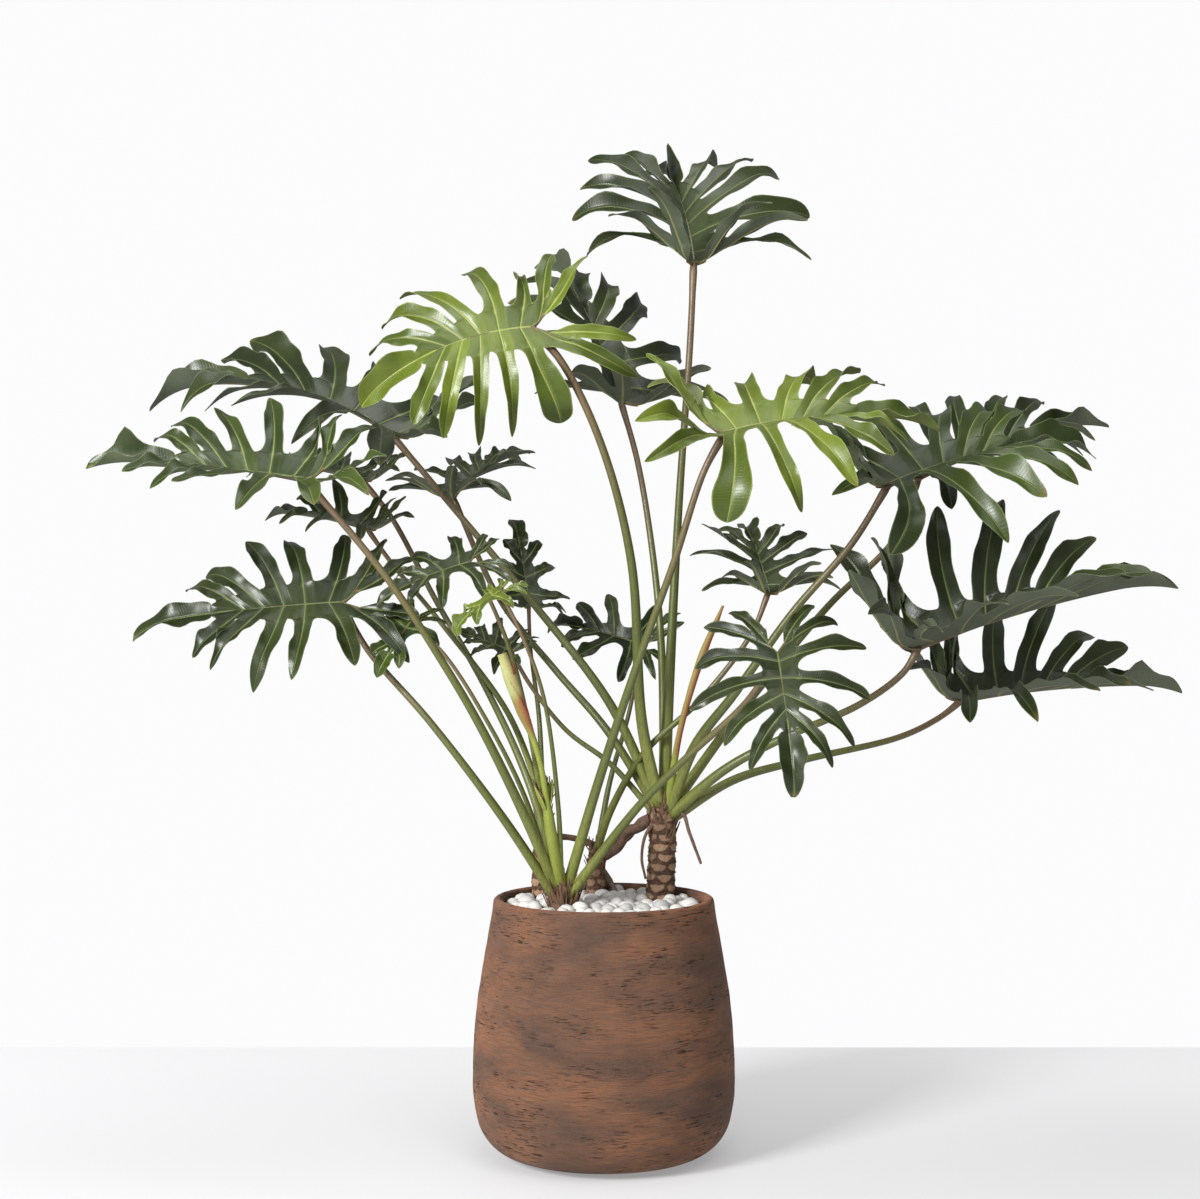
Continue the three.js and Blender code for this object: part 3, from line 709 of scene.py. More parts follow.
@dataclass(frozen=True)
class ShootFinish(Finish):
    """A young shoot: yellow-green sheath, paler knob and red-brown dry edges."""

    sheath: Colour = (0.23, 0.265, 0.045)
    streak: Colour = (0.13, 0.165, 0.028)
    knob: Colour = (0.34, 0.38, 0.14)
    dry: Colour = (0.23, 0.065, 0.03)

    def paint(self, graph: Graph) -> None:
        """Lays streaks, the knob and the dry parts over the sheath's green.

        Args:
            graph: The material's nodes.
        """
        _, red, knob = graph.attribute("spot")
        streaks = graph.noise(500.0, 4.0, 0.6, upward=22.0)
        flecks = graph.noise(420.0, 3.0, 0.6)
        colour = graph.layered(
            self.sheath,
            (streaks.rise(0.35, 0.75) * 0.5, self.streak),
            (knob, self.knob),
            ((red + flecks * 0.5 - 0.25).clamped() * red.rise(0.05, 0.3), self.dry),
        )
        relief = streaks * 0.7 + flecks * 0.3
        graph.shade(colour, 0.5 + flecks * 0.12, relief, depth=0.0005, Specular_IOR_Level=0.4)


@dataclass(frozen=True)
class PotFinish(Finish):
    """Fired clay brushed round the pot: rust brown, grey-brown clouds, fine pits in rows."""

    rust: Colour = (0.205, 0.085, 0.040)
    umber: Colour = (0.062, 0.034, 0.024)
    ash: Colour = (0.100, 0.068, 0.054)
    grit: Colour = (0.34, 0.19, 0.12)
    pit: Colour = (0.014, 0.008, 0.006)

    def paint(self, graph: Graph) -> None:
        """Lays brush marks, grit and clustered pits over the clouded clay.

        Args:
            graph: The material's nodes.
        """
        clouds = graph.noise(7.0, 4.0, 0.6, upward=17.0)
        bands = graph.noise(18.0, 5.0, 0.7, upward=260.0)
        brushed = graph.noise(45.0, 4.0, 0.75, upward=900.0)
        dashes = graph.noise(62.0, 3.0, 0.6, upward=620.0)
        clusters = graph.noise(13.0, 3.0, 0.6, upward=30.0)
        grain = graph.noise(1300.0, 3.0, 0.6)
        pits = dashes.rise(0.56, 0.63) * clusters.rise(0.48, 0.62) * bands.rise(0.36, 0.50)
        specks = grain.rise(0.62, 0.70)
        colour = graph.layered(
            self.umber,
            ((clouds * 4.6 - 1.85).clamped(), self.rust),
            (bands.rise(0.45, 0.68) * 0.6, self.ash),
            (brushed.rise(0.42, 0.66) * 0.82, self.umber),
            (grain.rise(0.35, 0.7) * 0.26, self.grit),
            (pits * 0.92, self.pit),
            (specks * 0.4, self.pit),
        )
        relief = 0.55 + brushed * 0.35 + grain * 0.12 - pits * 0.9 - specks * 0.2
        graph.shade(
            colour,
            0.72 + brushed * 0.14,
            relief,
            depth=0.0013,
            Specular_IOR_Level=0.25,
            Diffuse_Roughness=1.0,
        )


@dataclass(frozen=True)
class StoneFinish(Finish):
    """Tumbled white stones, some greyer, with a chalky skin."""

    white: Colour = (0.60, 0.58, 0.555)
    grey: Colour = (0.36, 0.355, 0.345)
    dust: Colour = (0.6, 0.57, 0.52)

    def paint(self, graph: Graph) -> None:
        """Lays grey clouds and dust over the white.

        Args:
            graph: The material's nodes.
        """
        grey, _, _ = graph.attribute("spot")
        clouds = graph.noise(130.0, 3.0, 0.6)
        grain = graph.noise(1400.0, 2.0, 0.6)
        greys = (grey + clouds * 0.5 - 0.25).clamped()
        dust = grain.rise(0.62, 0.75) * 0.3
        colour = graph.layered(self.white, (greys, self.grey), (dust, self.dust))
        graph.shade(colour, 0.55 + grain * 0.2, clouds * 0.6 + grain * 0.4, depth=0.0006)


@dataclass(frozen=True)
class SoilFinish(Finish):
    """Dark crumbly soil."""

    dark: Colour = (0.022, 0.014, 0.009)
    light: Colour = (0.09, 0.055, 0.035)

    def paint(self, graph: Graph) -> None:
        """Lays lighter crumbs over the dark.

        Args:
            graph: The material's nodes.
        """
        crumbs = graph.cells(330.0)
        fine = graph.noise(900.0, 4.0, 0.7)
        colour = graph.layered(self.dark, ((crumbs * 0.9 + fine * 0.5 - 0.35).clamped(), self.light))
        graph.shade(colour, 0.95, crumbs * 0.7 + fine * 0.5, depth=0.002, Specular_IOR_Level=0.1)


@dataclass(frozen=True)
class FloorFinish(Finish):
    """A plain pale painted floor, lit evenly up to its far edge."""

    coat: Colour = (0.51, 0.51, 0.515)
    glow: Colour = (0.28, 0.28, 0.283)
    far_glow: Colour = (0.42, 0.42, 0.425)
    dimmed: float = 0.985
    glow_from: float = -0.2

    def paint(self, graph: Graph) -> None:
        """Lays faint clouds over the paint, and a glow that grows towards the back.

        Args:
            graph: The material's nodes.
        """
        clouds = graph.noise(2.2)
        dimmer = tuple(self.dimmed * part for part in self.coat)
        split = graph.node("ShaderNodeSeparateXYZ", {}, {0: graph.place})
        away = Value(graph, split.outputs["Y"]).rise(self.glow_from, FLOOR_BACK)
        graph.shade(
            graph.layered(self.coat, (clouds, dimmer)),
            0.6,
            clouds,
            depth=0.0004,
            Emission_Color=graph.layered(self.glow, (away, self.far_glow)),
            Emission_Strength=1.0,
        )


@dataclass(frozen=True, kw_only=True)
class LeafPlan:
    """Where one leaf stands and how it is bent, in metres and degrees.

    at is where stalk and blade meet. heading is 0 towards +X and 90 away from the front,
    pitch the rise of the midrib and roll how much its left side is up. fold raises each
    half about the midrib and droop curls it down by the lobe tips. arch and bend curl the
    midrib down and to its left, and cup turns the rear lobes up. spread is the lobes'
    length against the usual, side their number on each side, thick the stalk's radius at
    foot and blade, and route the points that the stalk passes on its way to the blade.
    """

    name: str
    tone: Tone = Tone.DARK
    side: int
    seed: int
    length: float
    at: Point
    heading: float
    pitch: float
    roll: float = 0.0
    fold: tuple[float, float]
    droop: tuple[float, float]
    arch: float
    bend: float = 0.0
    cup: float
    spread: float = 1.0
    thick: tuple[float, float]
    route: tuple[Point, ...]


@dataclass(frozen=True)
class Outline:
    """The flat outline that all the blades share, in fractions of a blade's length."""

    spine_end: float = 0.5
    costa_length: float = 0.09
    costa_angle: float = 148.0
    front_angles: tuple[float, ...] = (102.0, 86.0, 71.0, 58.0, 46.0, 36.0)
    front_lengths: tuple[float, ...] = (0.6, 0.62, 0.6, 0.56, 0.52, 0.46)
    rear_angles: tuple[float, ...] = (148.0, 123.0)
    rear_lengths: tuple[float, ...] = (0.46, 0.54)
    web_reach: float = 0.11
    web_overlap: float = 1.05
    rear_web_gain: float = 0.6
    rear_web_from: float = 75.0
    rear_web_span: float = 60.0
    lobe_half_width: float = 0.046
    tip_half_width: float = 0.075
    lobe_sweep: float = 9.0
    usual_side: int = 6

    def skeleton(self, along: float) -> Vector:
        """Gives a point of the midrib, or of the side branch for a negative value.

        Args:
            along: How far from where both meet the stalk.

        Returns:
            The point.
        """
        if along >= 0.0:
            return Vector((along, 0.0))
        return heading(self.costa_angle) * -along

    @staticmethod
    def between(values: tuple[float, ...], rank: float) -> float:
        """Gives the value at a place in a list, which may lie between two entries."""
        low = min(len(values) - 2, max(0, math.floor(rank)))
        return lerp(values[low], values[low + 1], rank - low)


OUTLINE = Outline()


@dataclass(frozen=True)
class Lobe:
    """One finger of a blade's left half. The tip lobe runs straight on along the midrib.

    start and end bound its foot on the midrib. angle, reach and wide are its heading, length
    and half width, rise is how far its tip stands up, and chance is the seed of its draws.
    The values from neck on shape the free part of every lobe.
    """

    start: float
    end: float
    angle: float
    reach: float
    wide: float
    rise: float
    chance: float
    straight: bool = False
    spur: float = 0.0
    neck: float = 0.22
    taper_from: float = 0.40
    taper_power: float = 2.3
    tip_power: float = 0.64
    ripple: float = 0.08
    ripples: float = 8.2
    fine_ripple: float = 0.03
    fine_ripples: float = 19.0
    spur_place: float = 0.50
    spur_stray: float = 0.14
    spur_rise: float = 0.22
    spur_fall: float = 0.13
    twist: float = 0.75
    hook: float = 0.055
    hook_stray: float = 0.045
    hook_from: float = 0.5
    cup: float = 0.46
    tip_flatness: float = 0.6
    rim_power: float = 1.6
    wave: float = 0.24
    waves: float = 12.5

    def rib(self, share: float) -> tuple[Vector, Vector]:
        """Gives the rib's point and direction.

        Args:
            share: How far along the free part of the lobe.

        Returns:
            The point and the unit direction.
        """
        if self.straight:
            first = OUTLINE.spine_end + OUTLINE.web_reach
            return Vector((lerp(first, 1.0, share), 0.0)), Vector((1.0, 0.0))
        past = OUTLINE.web_reach * OUTLINE.web_overlap / self.reach
        share = lerp(past, 1.0, share)
        base = OUTLINE.skeleton((self.start + self.end) / 2)
        knee = base + heading(self.angle + OUTLINE.lobe_sweep) * self.reach / 2
        tip = knee + heading(self.angle - OUTLINE.lobe_sweep) * self.reach / 2
        point = base * (1 - share) ** 2 + knee * 2 * share * (1 - share) + tip * share ** 2
        return point, ((knee - base) * (1 - share) + (tip - knee) * share).normalized()

    def tooth(self, share: float, side: float) -> float:
        """Gives how far a margin's spur stands out.

        Args:
            share: How far along the free part.
            side: -1 for the rear margin, 1 for the front one.

        Returns:
            The height, in half widths.
        """
        if self.spur == 0.0:
            return 0.0
        strength = self.spur * (0.5 + 0.5 * scatter(self.chance, Draw.SPUR_SIZE + side))
        peak = self.spur_place + self.spur_stray * scatter(self.chance, Draw.SPUR_PLACE + side)
        before = eased(peak - self.spur_rise, peak, share)
        after = 1.0 - eased(peak, peak + self.spur_fall, share)
        return strength * before * after

    def half_width(self, share: float, side: float) -> float:
        """Gives the width from rib to margin: a neck, a soft belly and a blunt tip.

        Args:
            share: How far along the free part.
            side: -1 for the rear margin, 1 for the front one.

        Returns:
            The width.
        """
        neck = 1.0 - self.neck * (1.0 - share) ** 2
        tapered = max(0.0, (share - self.taper_from) / (1.0 - self.taper_from))
        close = max(0.0, 1.0 - tapered ** self.taper_power) ** self.tip_power
        phase = 3.0 * scatter(self.chance, Draw.RIPPLE + side)
        ripple = self.ripple * math.sin(self.ripples * share + phase)
        ripple += self.fine_ripple * math.sin(self.fine_ripples * share + 2.0 * phase)
        swelling = 1.0 + ripple * eased(0.0, 0.2, share) + self.tooth(share, side)
        return self.wide * neck * close * swelling

    def lift(self, share: float, across: float, width: float, pleat: float) -> float:
        """Gives how high the free part stands: cupped, waved, twisted and hooked at its tip.

        Args:
            share: How far along the free part.
            across: From -1 at the rear margin to 1 at the front one.
            width: The half width there.
            pleat: How high the web's pleat stands there.

        Returns:
            The height off the blade's surface.
        """
        twist = self.twist * scatter(self.chance, Draw.LOBE_TWIST)
        hook = self.hook + self.hook_stray * scatter(self.chance, Draw.LOBE_HOOK)
        cup = self.cup * (1.0 + 0.5 * scatter(self.chance, Draw.LOBE_CUP))
        phase = 3.0 * scatter(self.chance, Draw.LOBE_WAVE)
        waving = self.wave * math.sin(self.waves * share + phase + across) * eased(0.05, 0.3, share)
        raised = cup * (1.0 - self.tip_flatness * eased(0.55, 1.0, share))
        rim = (raised + waving) * width * abs(across) ** self.rim_power
        height = lerp(pleat, rim, eased(0.0, 0.3, share))
        hooked = max(0.0, (share - self.hook_from) / (1.0 - self.hook_from))
        height += self.rise * share ** 2 - hook * hooked ** 2
        return height + twist * across * width * eased(0.1, 0.9, share)

    def notch(self, following: "Lobe") -> Vector:
        """Gives the bottom of the cut before the following lobe.

        Args:
            following: The next lobe towards the tip.

        Returns:
            The point.
        """
        backward = max(0.0, (following.angle - OUTLINE.rear_web_from) / OUTLINE.rear_web_span)
        gain = OUTLINE.rear_web_gain * backward
        reach = OUTLINE.web_reach * (1.0 + gain)
        return OUTLINE.skeleton(self.end) + heading((self.angle + following.angle) / 2) * reach


class Spine:
    """A blade's midrib as it dips and turns, with the surface hung on it."""

    low: float = -0.6
    high: float = 1.2
    steps: int = 180
    hinge: float = 0.15
    droop_reach: float = 0.5

    def __init__(self, plan: LeafPlan) -> None:
        """Works out the midrib once for a leaf.

        Args:
            plan: The leaf.
        """
        self.plan = plan
        self.step = (self.high - self.low) / self.steps
        zero = round(-self.low / self.step)
        self.points = [Vector((0.0, 0.0, 0.0)) for _ in range(self.steps + 1)]
        for index in range(zero, self.steps):
            middle = self.low + (index + 0.5) * self.step
            self.points[index + 1] = self.points[index] + self.direction(middle) * self.step
        for index in range(zero, 0, -1):
            middle = self.low + (index - 0.5) * self.step
            self.points[index - 1] = self.points[index] - self.direction(middle) * self.step
        pitch = math.radians(plan.pitch)
        roll = math.radians(plan.roll)
        flat = heading(plan.heading)
        self.ahead = Vector((math.cos(pitch) * flat.x, math.cos(pitch) * flat.y, math.sin(pitch)))
        level = Vector((-flat.y, flat.x, 0.0))
        raised = self.ahead.cross(level)
        self.leftward = level * math.cos(roll) + raised * math.sin(roll)
        self.upward = self.ahead.cross(self.leftward)

    def direction(self, at: float) -> Vector:
        """Gives the midrib's direction.

        Args:
            at: Share of the blade's length, negative behind the stalk.

        Returns:
            The unit direction.
        """
        dip = -math.radians(self.plan.arch) * at
        if at < 0.0:
            dip = -math.radians(self.plan.cup) * min(1.0, -at / self.hinge)
        yaw = math.radians(self.plan.bend) * at
        return Vector((math.cos(dip) * math.cos(yaw), math.cos(dip) * math.sin(yaw), math.sin(dip)))

    def place(self, forward: float, sideways: float, lift: float) -> Vector:
        """Puts a point of the flat outline in space.

        Args:
            forward: Share along the midrib.
            sideways: Share to its left.
            lift: Height off the surface, as a share.

        Returns:
            The place in metres.
        """
        half = 0 if sideways >= 0.0 else 1
        curl = math.radians(self.plan.droop[half]) / self.droop_reach
        first = math.radians(self.plan.fold[half])
        last = first - curl * abs(sideways)
        out = (math.sin(first) - math.sin(last)) / curl - lift * math.sin(last)
        high = (math.cos(last) - math.cos(first)) / curl + lift * math.cos(last)
        rank = min(self.steps - 1e-6, max(0.0, (forward - self.low) / self.step))
        index = int(rank)
        point = self.points[index].lerp(self.points[index + 1], rank - index)
        along = self.direction(forward)
        across = Vector((-along.y, along.x, 0.0)).normalized()
        point = point + across * (out if sideways >= 0.0 else -out) + along.cross(across) * high
        offset = self.ahead * point.x + self.leftward * point.y + self.upward * point.z
        return Vector(self.plan.at) + offset * self.plan.length


@dataclass(frozen=True)
class Spot:
    """A point of the flat outline, its height, and how far it is from rib, margin and midrib.

    All are shares of the blade's length. out is how far out it lies along a lobe's free part.
    """

    point: Vector
    lift: float
    rib: float
    margin: float
    midrib: float = 1.0
    out: float = 0.0


@dataclass
class Blade:
    """A leaf blade: lobes on both sides of the midrib and one at its tip, in one thin shell."""

    plan: LeafPlan
    skin: float = 0.0007
    web_rows: tuple[float, ...] = (0.0, 0.05, 0.12, 0.25, 0.45, 0.7)
    free_rows: int = 22
    columns: tuple[float, ...] = (-1.0, -0.9, -0.6, -0.28, -0.08, 0.0, 0.08, 0.28, 0.6, 0.9, 1.0)
    pleat: float = 0.014
    fold: float = 0.10
    round_notch: float = 0.16
    far_margin: float = 0.02
    near_margin: float = 0.002
    groove: float = 0.0016
    bare: tuple[float, float] = (0.004, 0.014)
    midrib_depth: float = 0.0034
    midrib_breadth: float = 0.0022
    rib_depth: float = 0.0013
    rib_breadth: float = 0.0013
    midrib_thinning: float = 0.75
    rib_thinning: float = 0.8
    lean: float = 4.0
    reach_stray: float = 0.07
    width_stray: float = 0.1
    rise: float = 0.05
    foot_power: float = 0.9
    crowding_power: float = 0.6
    tip_reach: float = 0.4
    tip_rise: float = -0.025
    spur: float = 0.28
    tip_spur: float = 0.5
    spurs_from: float = 0.16
    chances: int = 40
    crisp: float = 50.0

    def lobes(self, left: bool) -> list[Lobe]:
        """Lists one half's lobes from the rearmost to the one next to the tip.

        Args:
            left: Whether it is the left half.

        Returns:
            The lobes.
        """
        plan = self.plan
        rear = len(OUTLINE.rear_angles)
        starts = [-OUTLINE.costa_length, -OUTLINE.costa_length, 0.0]
        for foot in range(1, plan.side + 1):
            starts.append(OUTLINE.spine_end * (foot / plan.side) ** self.foot_power)
        lobes = []
        for index in range(plan.side + rear):
            if index < rear:
                angle, reach = OUTLINE.rear_angles[index], OUTLINE.rear_lengths[index]
                crowding = 1.0
            else:
                rank = (index - rear) * (len(OUTLINE.front_angles) - 1) / (plan.side - 1)
                angle = OUTLINE.between(OUTLINE.front_angles, rank)
                reach = OUTLINE.between(OUTLINE.front_lengths, rank)
                crowding = (OUTLINE.usual_side / plan.side) ** self.crowding_power
            chance = plan.seed * self.chances + index + (0 if left else self.chances // 2)
            spurred = index >= plan.side and plan.length > self.spurs_from
            longer = 1.0 + self.reach_stray * scatter(chance, Draw.LOBE_REACH)
            wider = 1.0 + self.width_stray * scatter(chance, Draw.LOBE_WIDTH)
            lobes.append(Lobe(
                start=starts[index],
                end=starts[index + 1],
                angle=angle + self.lean * scatter(chance, Draw.LOBE_LEAN),
                reach=reach * plan.spread * longer,
                wide=OUTLINE.lobe_half_width * crowding * wider,
                rise=self.rise * scatter(chance, Draw.LOBE_RISE),
                chance=chance,
                spur=self.spur if spurred else 0.0,
            ))
        return lobes

    def tip_lobe(self) -> Lobe:
        """Gives the lobe at the tip.

        Returns:
            The lobe.
        """
        crowding = math.sqrt(OUTLINE.usual_side / self.plan.side)
        return Lobe(
            start=OUTLINE.spine_end,
            end=OUTLINE.spine_end,
            angle=0.0,
            reach=self.tip_reach,
            wide=OUTLINE.tip_half_width * crowding,
            rise=self.tip_rise,
            chance=self.plan.seed * self.chances + self.chances // 2 - 1,
            straight=True,
            spur=self.tip_spur if self.plan.length > self.spurs_from else 0.0,
        )

    def web_spot(self, lobe: Lobe, end: Vector, across: float, share: float) -> Spot:
        """Gives a spot of the web between the midrib and the free part of a lobe.

        Args:
            lobe: The lobe.
            end: Bottom of the cut on this side of it.
            across: From -1 at the cut behind the lobe to 1 at the cut before it.
            share: How far out from the midrib.

        Returns:
            The spot.
        """
        near = abs(across)
        seat = lobe.rib(0.0)[0]
        base = OUTLINE.skeleton(lerp(lobe.start, lobe.end, (across + 1.0) / 2.0))
        point = base.lerp(seat.lerp(end, near), share)
        lift = self.pleat * math.sin(math.pi / 2 * near) ** 2 * eased(0.0, 1.0, share)
        rib = near * lerp((lobe.end - lobe.start) / 2, (end - seat).length, share)
        margin = self.far_margin / self.plan.length
        if lobe.start == -OUTLINE.costa_length == lobe.end and across < 0.0:
            margin = (1.0 - near) * (end - seat).length * share + self.near_margin
        return Spot(point, lift, rib, margin, midrib=(point - base).length)

    def free_spot(self, lobe: Lobe, end: Vector, across: float, share: float) -> Spot:
        """Gives a spot of a lobe's free part.

        Args:
            lobe: The lobe.
            end: Bottom of the cut on this side of it.
            across: From -1 at the rear margin to 1 at the front one.
            share: How far out along the free part.

        Returns:
            The spot.
        """
        near = abs(across)
        middle, ahead = lobe.rib(share)
        width = lobe.half_width(share, -1.0 if across < 0.0 else 1.0)
        aside = Vector((-ahead.y, ahead.x)) * width
        inside = middle - aside * across * (1.0 - self.fold * eased(0.1, 0.4, share))
        turn = min(1.0, share / self.round_notch)
        seam = lobe.rib(0.0)[0].lerp(end, near)
        point = seam.lerp(inside, math.sqrt(1.0 - (1.0 - turn) ** 2))
        lift = lobe.lift(share, across, width, self.pleat * math.sin(math.pi / 2 * near) ** 2)
        return Spot(point, lift, near * width, (1.0 - near) * width, out=share)

    def strip(
        self, mesh: Mesh, spine: Spine, lobe: Lobe, ends: tuple[Vector, Vector], side: float,
    ) -> None:
        """Lays one lobe and its part of the web into space.

        Args:
            mesh: The blade's mesh.
            spine: The leaf's midrib.
            lobe: The lobe.
            ends: Bottoms of the cuts behind and before it.
            side: 1 for the left half, -1 for the right.
        """
        length = self.plan.length
        web = len(self.web_rows)
        rows = web + self.free_rows
        columns = len(self.columns) - 1
        shade = scatter(lobe.chance, Draw.LOBE_SHADE)
        made = bmesh.ops.create_grid(mesh.bm, x_segments=columns, y_segments=rows, size=1.0)
        for vert in made["verts"]:
            across = self.columns[round((vert.co.x + 1.0) / 2.0 * columns)]
            row = round((vert.co.y + 1.0) / 2.0 * rows)
            end = ends[0] if across < 0.0 else ends[1]
            if row < web:
                spot = self.web_spot(lobe, end, across, self.web_rows[row])
            else:
                share = (1.0 - math.cos(math.pi * (row - web) / self.free_rows)) / 2.0
                spot = self.free_spot(lobe, end, across, share)
            point = spot.point
            groove = self.groove * (1.0 - eased(0.0, 0.3, abs(across))) * eased(0.0, 0.2, row / rows)
            vert.co = spine.place(point.x, side * point.y, spot.lift - groove)
            bare = 0.0
            if lobe.start < 0.0:
                bare = 1.0 - eased(*self.bare, (point - OUTLINE.skeleton(lobe.start)).length)
            forward = max(0.0, min(1.0, point.x / OUTLINE.spine_end))
            mesh.mark(vert, "vein", (spot.rib * length, spot.midrib * length, spot.margin * length))
            mesh.mark(vert, "spot", (spot.out, forward, 0.0))
            mesh.mark(vert, "tone", (shade, bare, 0.0))
        if side < 0.0:
            faces = {face for vert in made["verts"] for face in vert.link_faces}
            bmesh.ops.reverse_faces(mesh.bm, faces=list(faces))

    def surface(self, mesh: Mesh) -> None:
        """Lays all the lobes side by side and joins them along their edges.

        Args:
            mesh: The blade's mesh.
        """
        spine = Spine(self.plan)
        tip = self.tip_lobe()
        tip_ends = []
        for side in (1.0, -1.0):
            lobes = self.lobes(side > 0.0)
            seat, direction = lobes[0].rib(0.0)
            behind = seat + Vector((-direction.y, direction.x)) * lobes[0].wide
            for lobe, following in zip(lobes, [*lobes[1:], tip]):
                ahead = lobe.notch(following)
                self.strip(mesh, spine, lobe, (behind, ahead), side)
                behind = ahead
            tip_ends.append(Vector((behind.x, side * behind.y)))
        self.strip(mesh, spine, tip, tuple(tip_ends), 1.0)
        bmesh.ops.remove_doubles(mesh.bm, verts=mesh.bm.verts[:], dist=2e-5)
        bmesh.ops.dissolve_degenerate(mesh.bm, edges=mesh.bm.edges[:], dist=1e-6)

    def thicken(self, mesh: Mesh) -> None:
        """Gives the surface its thickness, with the ribs standing out below.

        Args:
            mesh: The blade's mesh.
        """
        bm = mesh.bm
        bm.normal_update()
        layers = mesh.layers
        top = set(bm.verts)
        for vert in top:
            mesh.mark(vert, "up", vert.normal)
            mesh.mark(vert, "home", vert.co)
        bmesh.ops.solidify(bm, geom=bm.faces[:], thickness=self.skin)
        for vert in bm.verts:
            if vert in top:
                continue
            rib, midrib, _ = vert[layers["vein"]]
            reach, forward, _ = vert[layers["spot"]]
            middle = math.exp(-((midrib / self.midrib_breadth) ** 2))
            middle *= self.midrib_depth * (1.0 - self.midrib_thinning * forward)
            branch = math.exp(-((rib / self.rib_breadth) ** 2))
            branch *= self.rib_depth * (1.0 - self.rib_thinning * reach)
            vert.co = vert[layers["home"]] - vert[layers["up"]] * (self.skin + max(middle, branch))
            mesh.mark(vert, "spot", (reach, forward, 1.0))
        for helper in ("up", "home"):
            bm.verts.layers.float_vector.remove(bm.verts.layers.float_vector[helper])

    def dress(self, finish: bpy.types.Material) -> None:
        """Builds the blade and gives it its finish.

        Args:
            finish: The leaf's material.
        """
        mesh = Mesh("vein", "spot", "tone", "up", "home")
        self.surface(mesh)
        self.thicken(mesh)
        name = self.plan.name
        nodes = (f"blade_{name}",)
        slot = self.plan.tone.value
        mesh.piece(f"leaf_{name}", slot, nodes, finish, self.crisp, recalculate=False)


@dataclass
class Stalk:
    """A leaf's stalk: widest where it clasps the stem, grooved, and swollen under the blade.

    Three thick ribs run on from it below the blade, along the midrib and both side branches.
    """

    plan: LeafPlan
    sides: int = 14
    steps: int = 56
    groove: float = 0.10
    knuckle: float = 0.22
    knuckle_at: tuple[float, float] = (0.93, 0.985)
    knuckle_fall: float = 0.15
    brown: float = 0.8
    pale: float = 0.6
    rib_sides: int = 10
    rib_steps: int = 14
    rib_points: int = 5
    rib_reach: float = 0.34
    rib_start: float = 0.92
    rib_end: float = 0.0011
    rib_taper: float = 0.6
    rib_sunk: tuple[float, float] = (0.85, 0.4)

    def radius(self, share: float, turn: float) -> float:
        """Gives the radius for a share of the length and a turn round it.

        Args:
            share: How far up the stalk.
            turn: Turn round it.

        Returns:
            The radius.
        """
        foot, head = self.plan.thick
        radius = head + (foot - head) * (1.0 - share) ** 2
        radius *= 1.0 + self.knuckle * eased(*self.knuckle_at, share)
        radius *= 1.0 - self.groove * max(0.0, math.cos(turn)) ** 3
        return radius * (1.0 - self.knuckle_fall * eased(self.knuckle_at[1], 1.0, share))

    def rib(self, spine: Spine, side: float) -> tuple[Vector, ...]:
        """Lists points along a thick rib that runs on below the blade.

        Args:
            spine: The leaf's midrib.
            side: 0 for the midrib, 1 or -1 for the left or right side branch.

        Returns:
            The points.
        """
        points = []
        for step in range(self.rib_points):
            share = step / (self.rib_points - 1)
            drop = lerp(self.rib_sunk[0] * self.plan.thick[1], self.rib_sunk[1] * self.rib_end, share)
            drop /= self.plan.length
            flat = Vector((self.rib_reach * share, 0.0))
            if side:
                flat = heading(OUTLINE.costa_angle) * OUTLINE.costa_length * share
            halves = (side, side) if side else (1.0, -1.0)
            places = [spine.place(flat.x, half * max(flat.y, 1e-6), -drop) for half in halves]
            points.append((places[0] + places[1]) / 2)
        return tuple(points)

    def dress(self, finish: bpy.types.Material) -> None:
        """Builds the stalk and gives it its finish.

        Args:
            finish: The stalks' material.
        """
        mesh = Mesh("spot")
        plan = self.plan
        spine = Spine(plan)
        ribs = [self.rib(spine, side) for side in (0.0, 1.0, -1.0)]
        first = self.rib_start * plan.thick[1]
        mesh.tube(
            Route((*plan.route, ribs[0][0])),
            self.radius,
            self.sides,
            self.steps,
            lambda share, turn: (share, self.brown, self.pale),
        )
        for points in ribs:
            mesh.tube(
                Route(points),
                lambda share, turn: lerp(first, self.rib_end, share ** self.rib_taper),
                self.rib_sides,
                self.rib_steps,
                lambda share, turn: (1.0 - 0.4 * share, self.brown, self.pale),
            )
        mesh.piece(f"petiole_{plan.name}", "stalk", (f"stalk_{plan.name}",), finish)


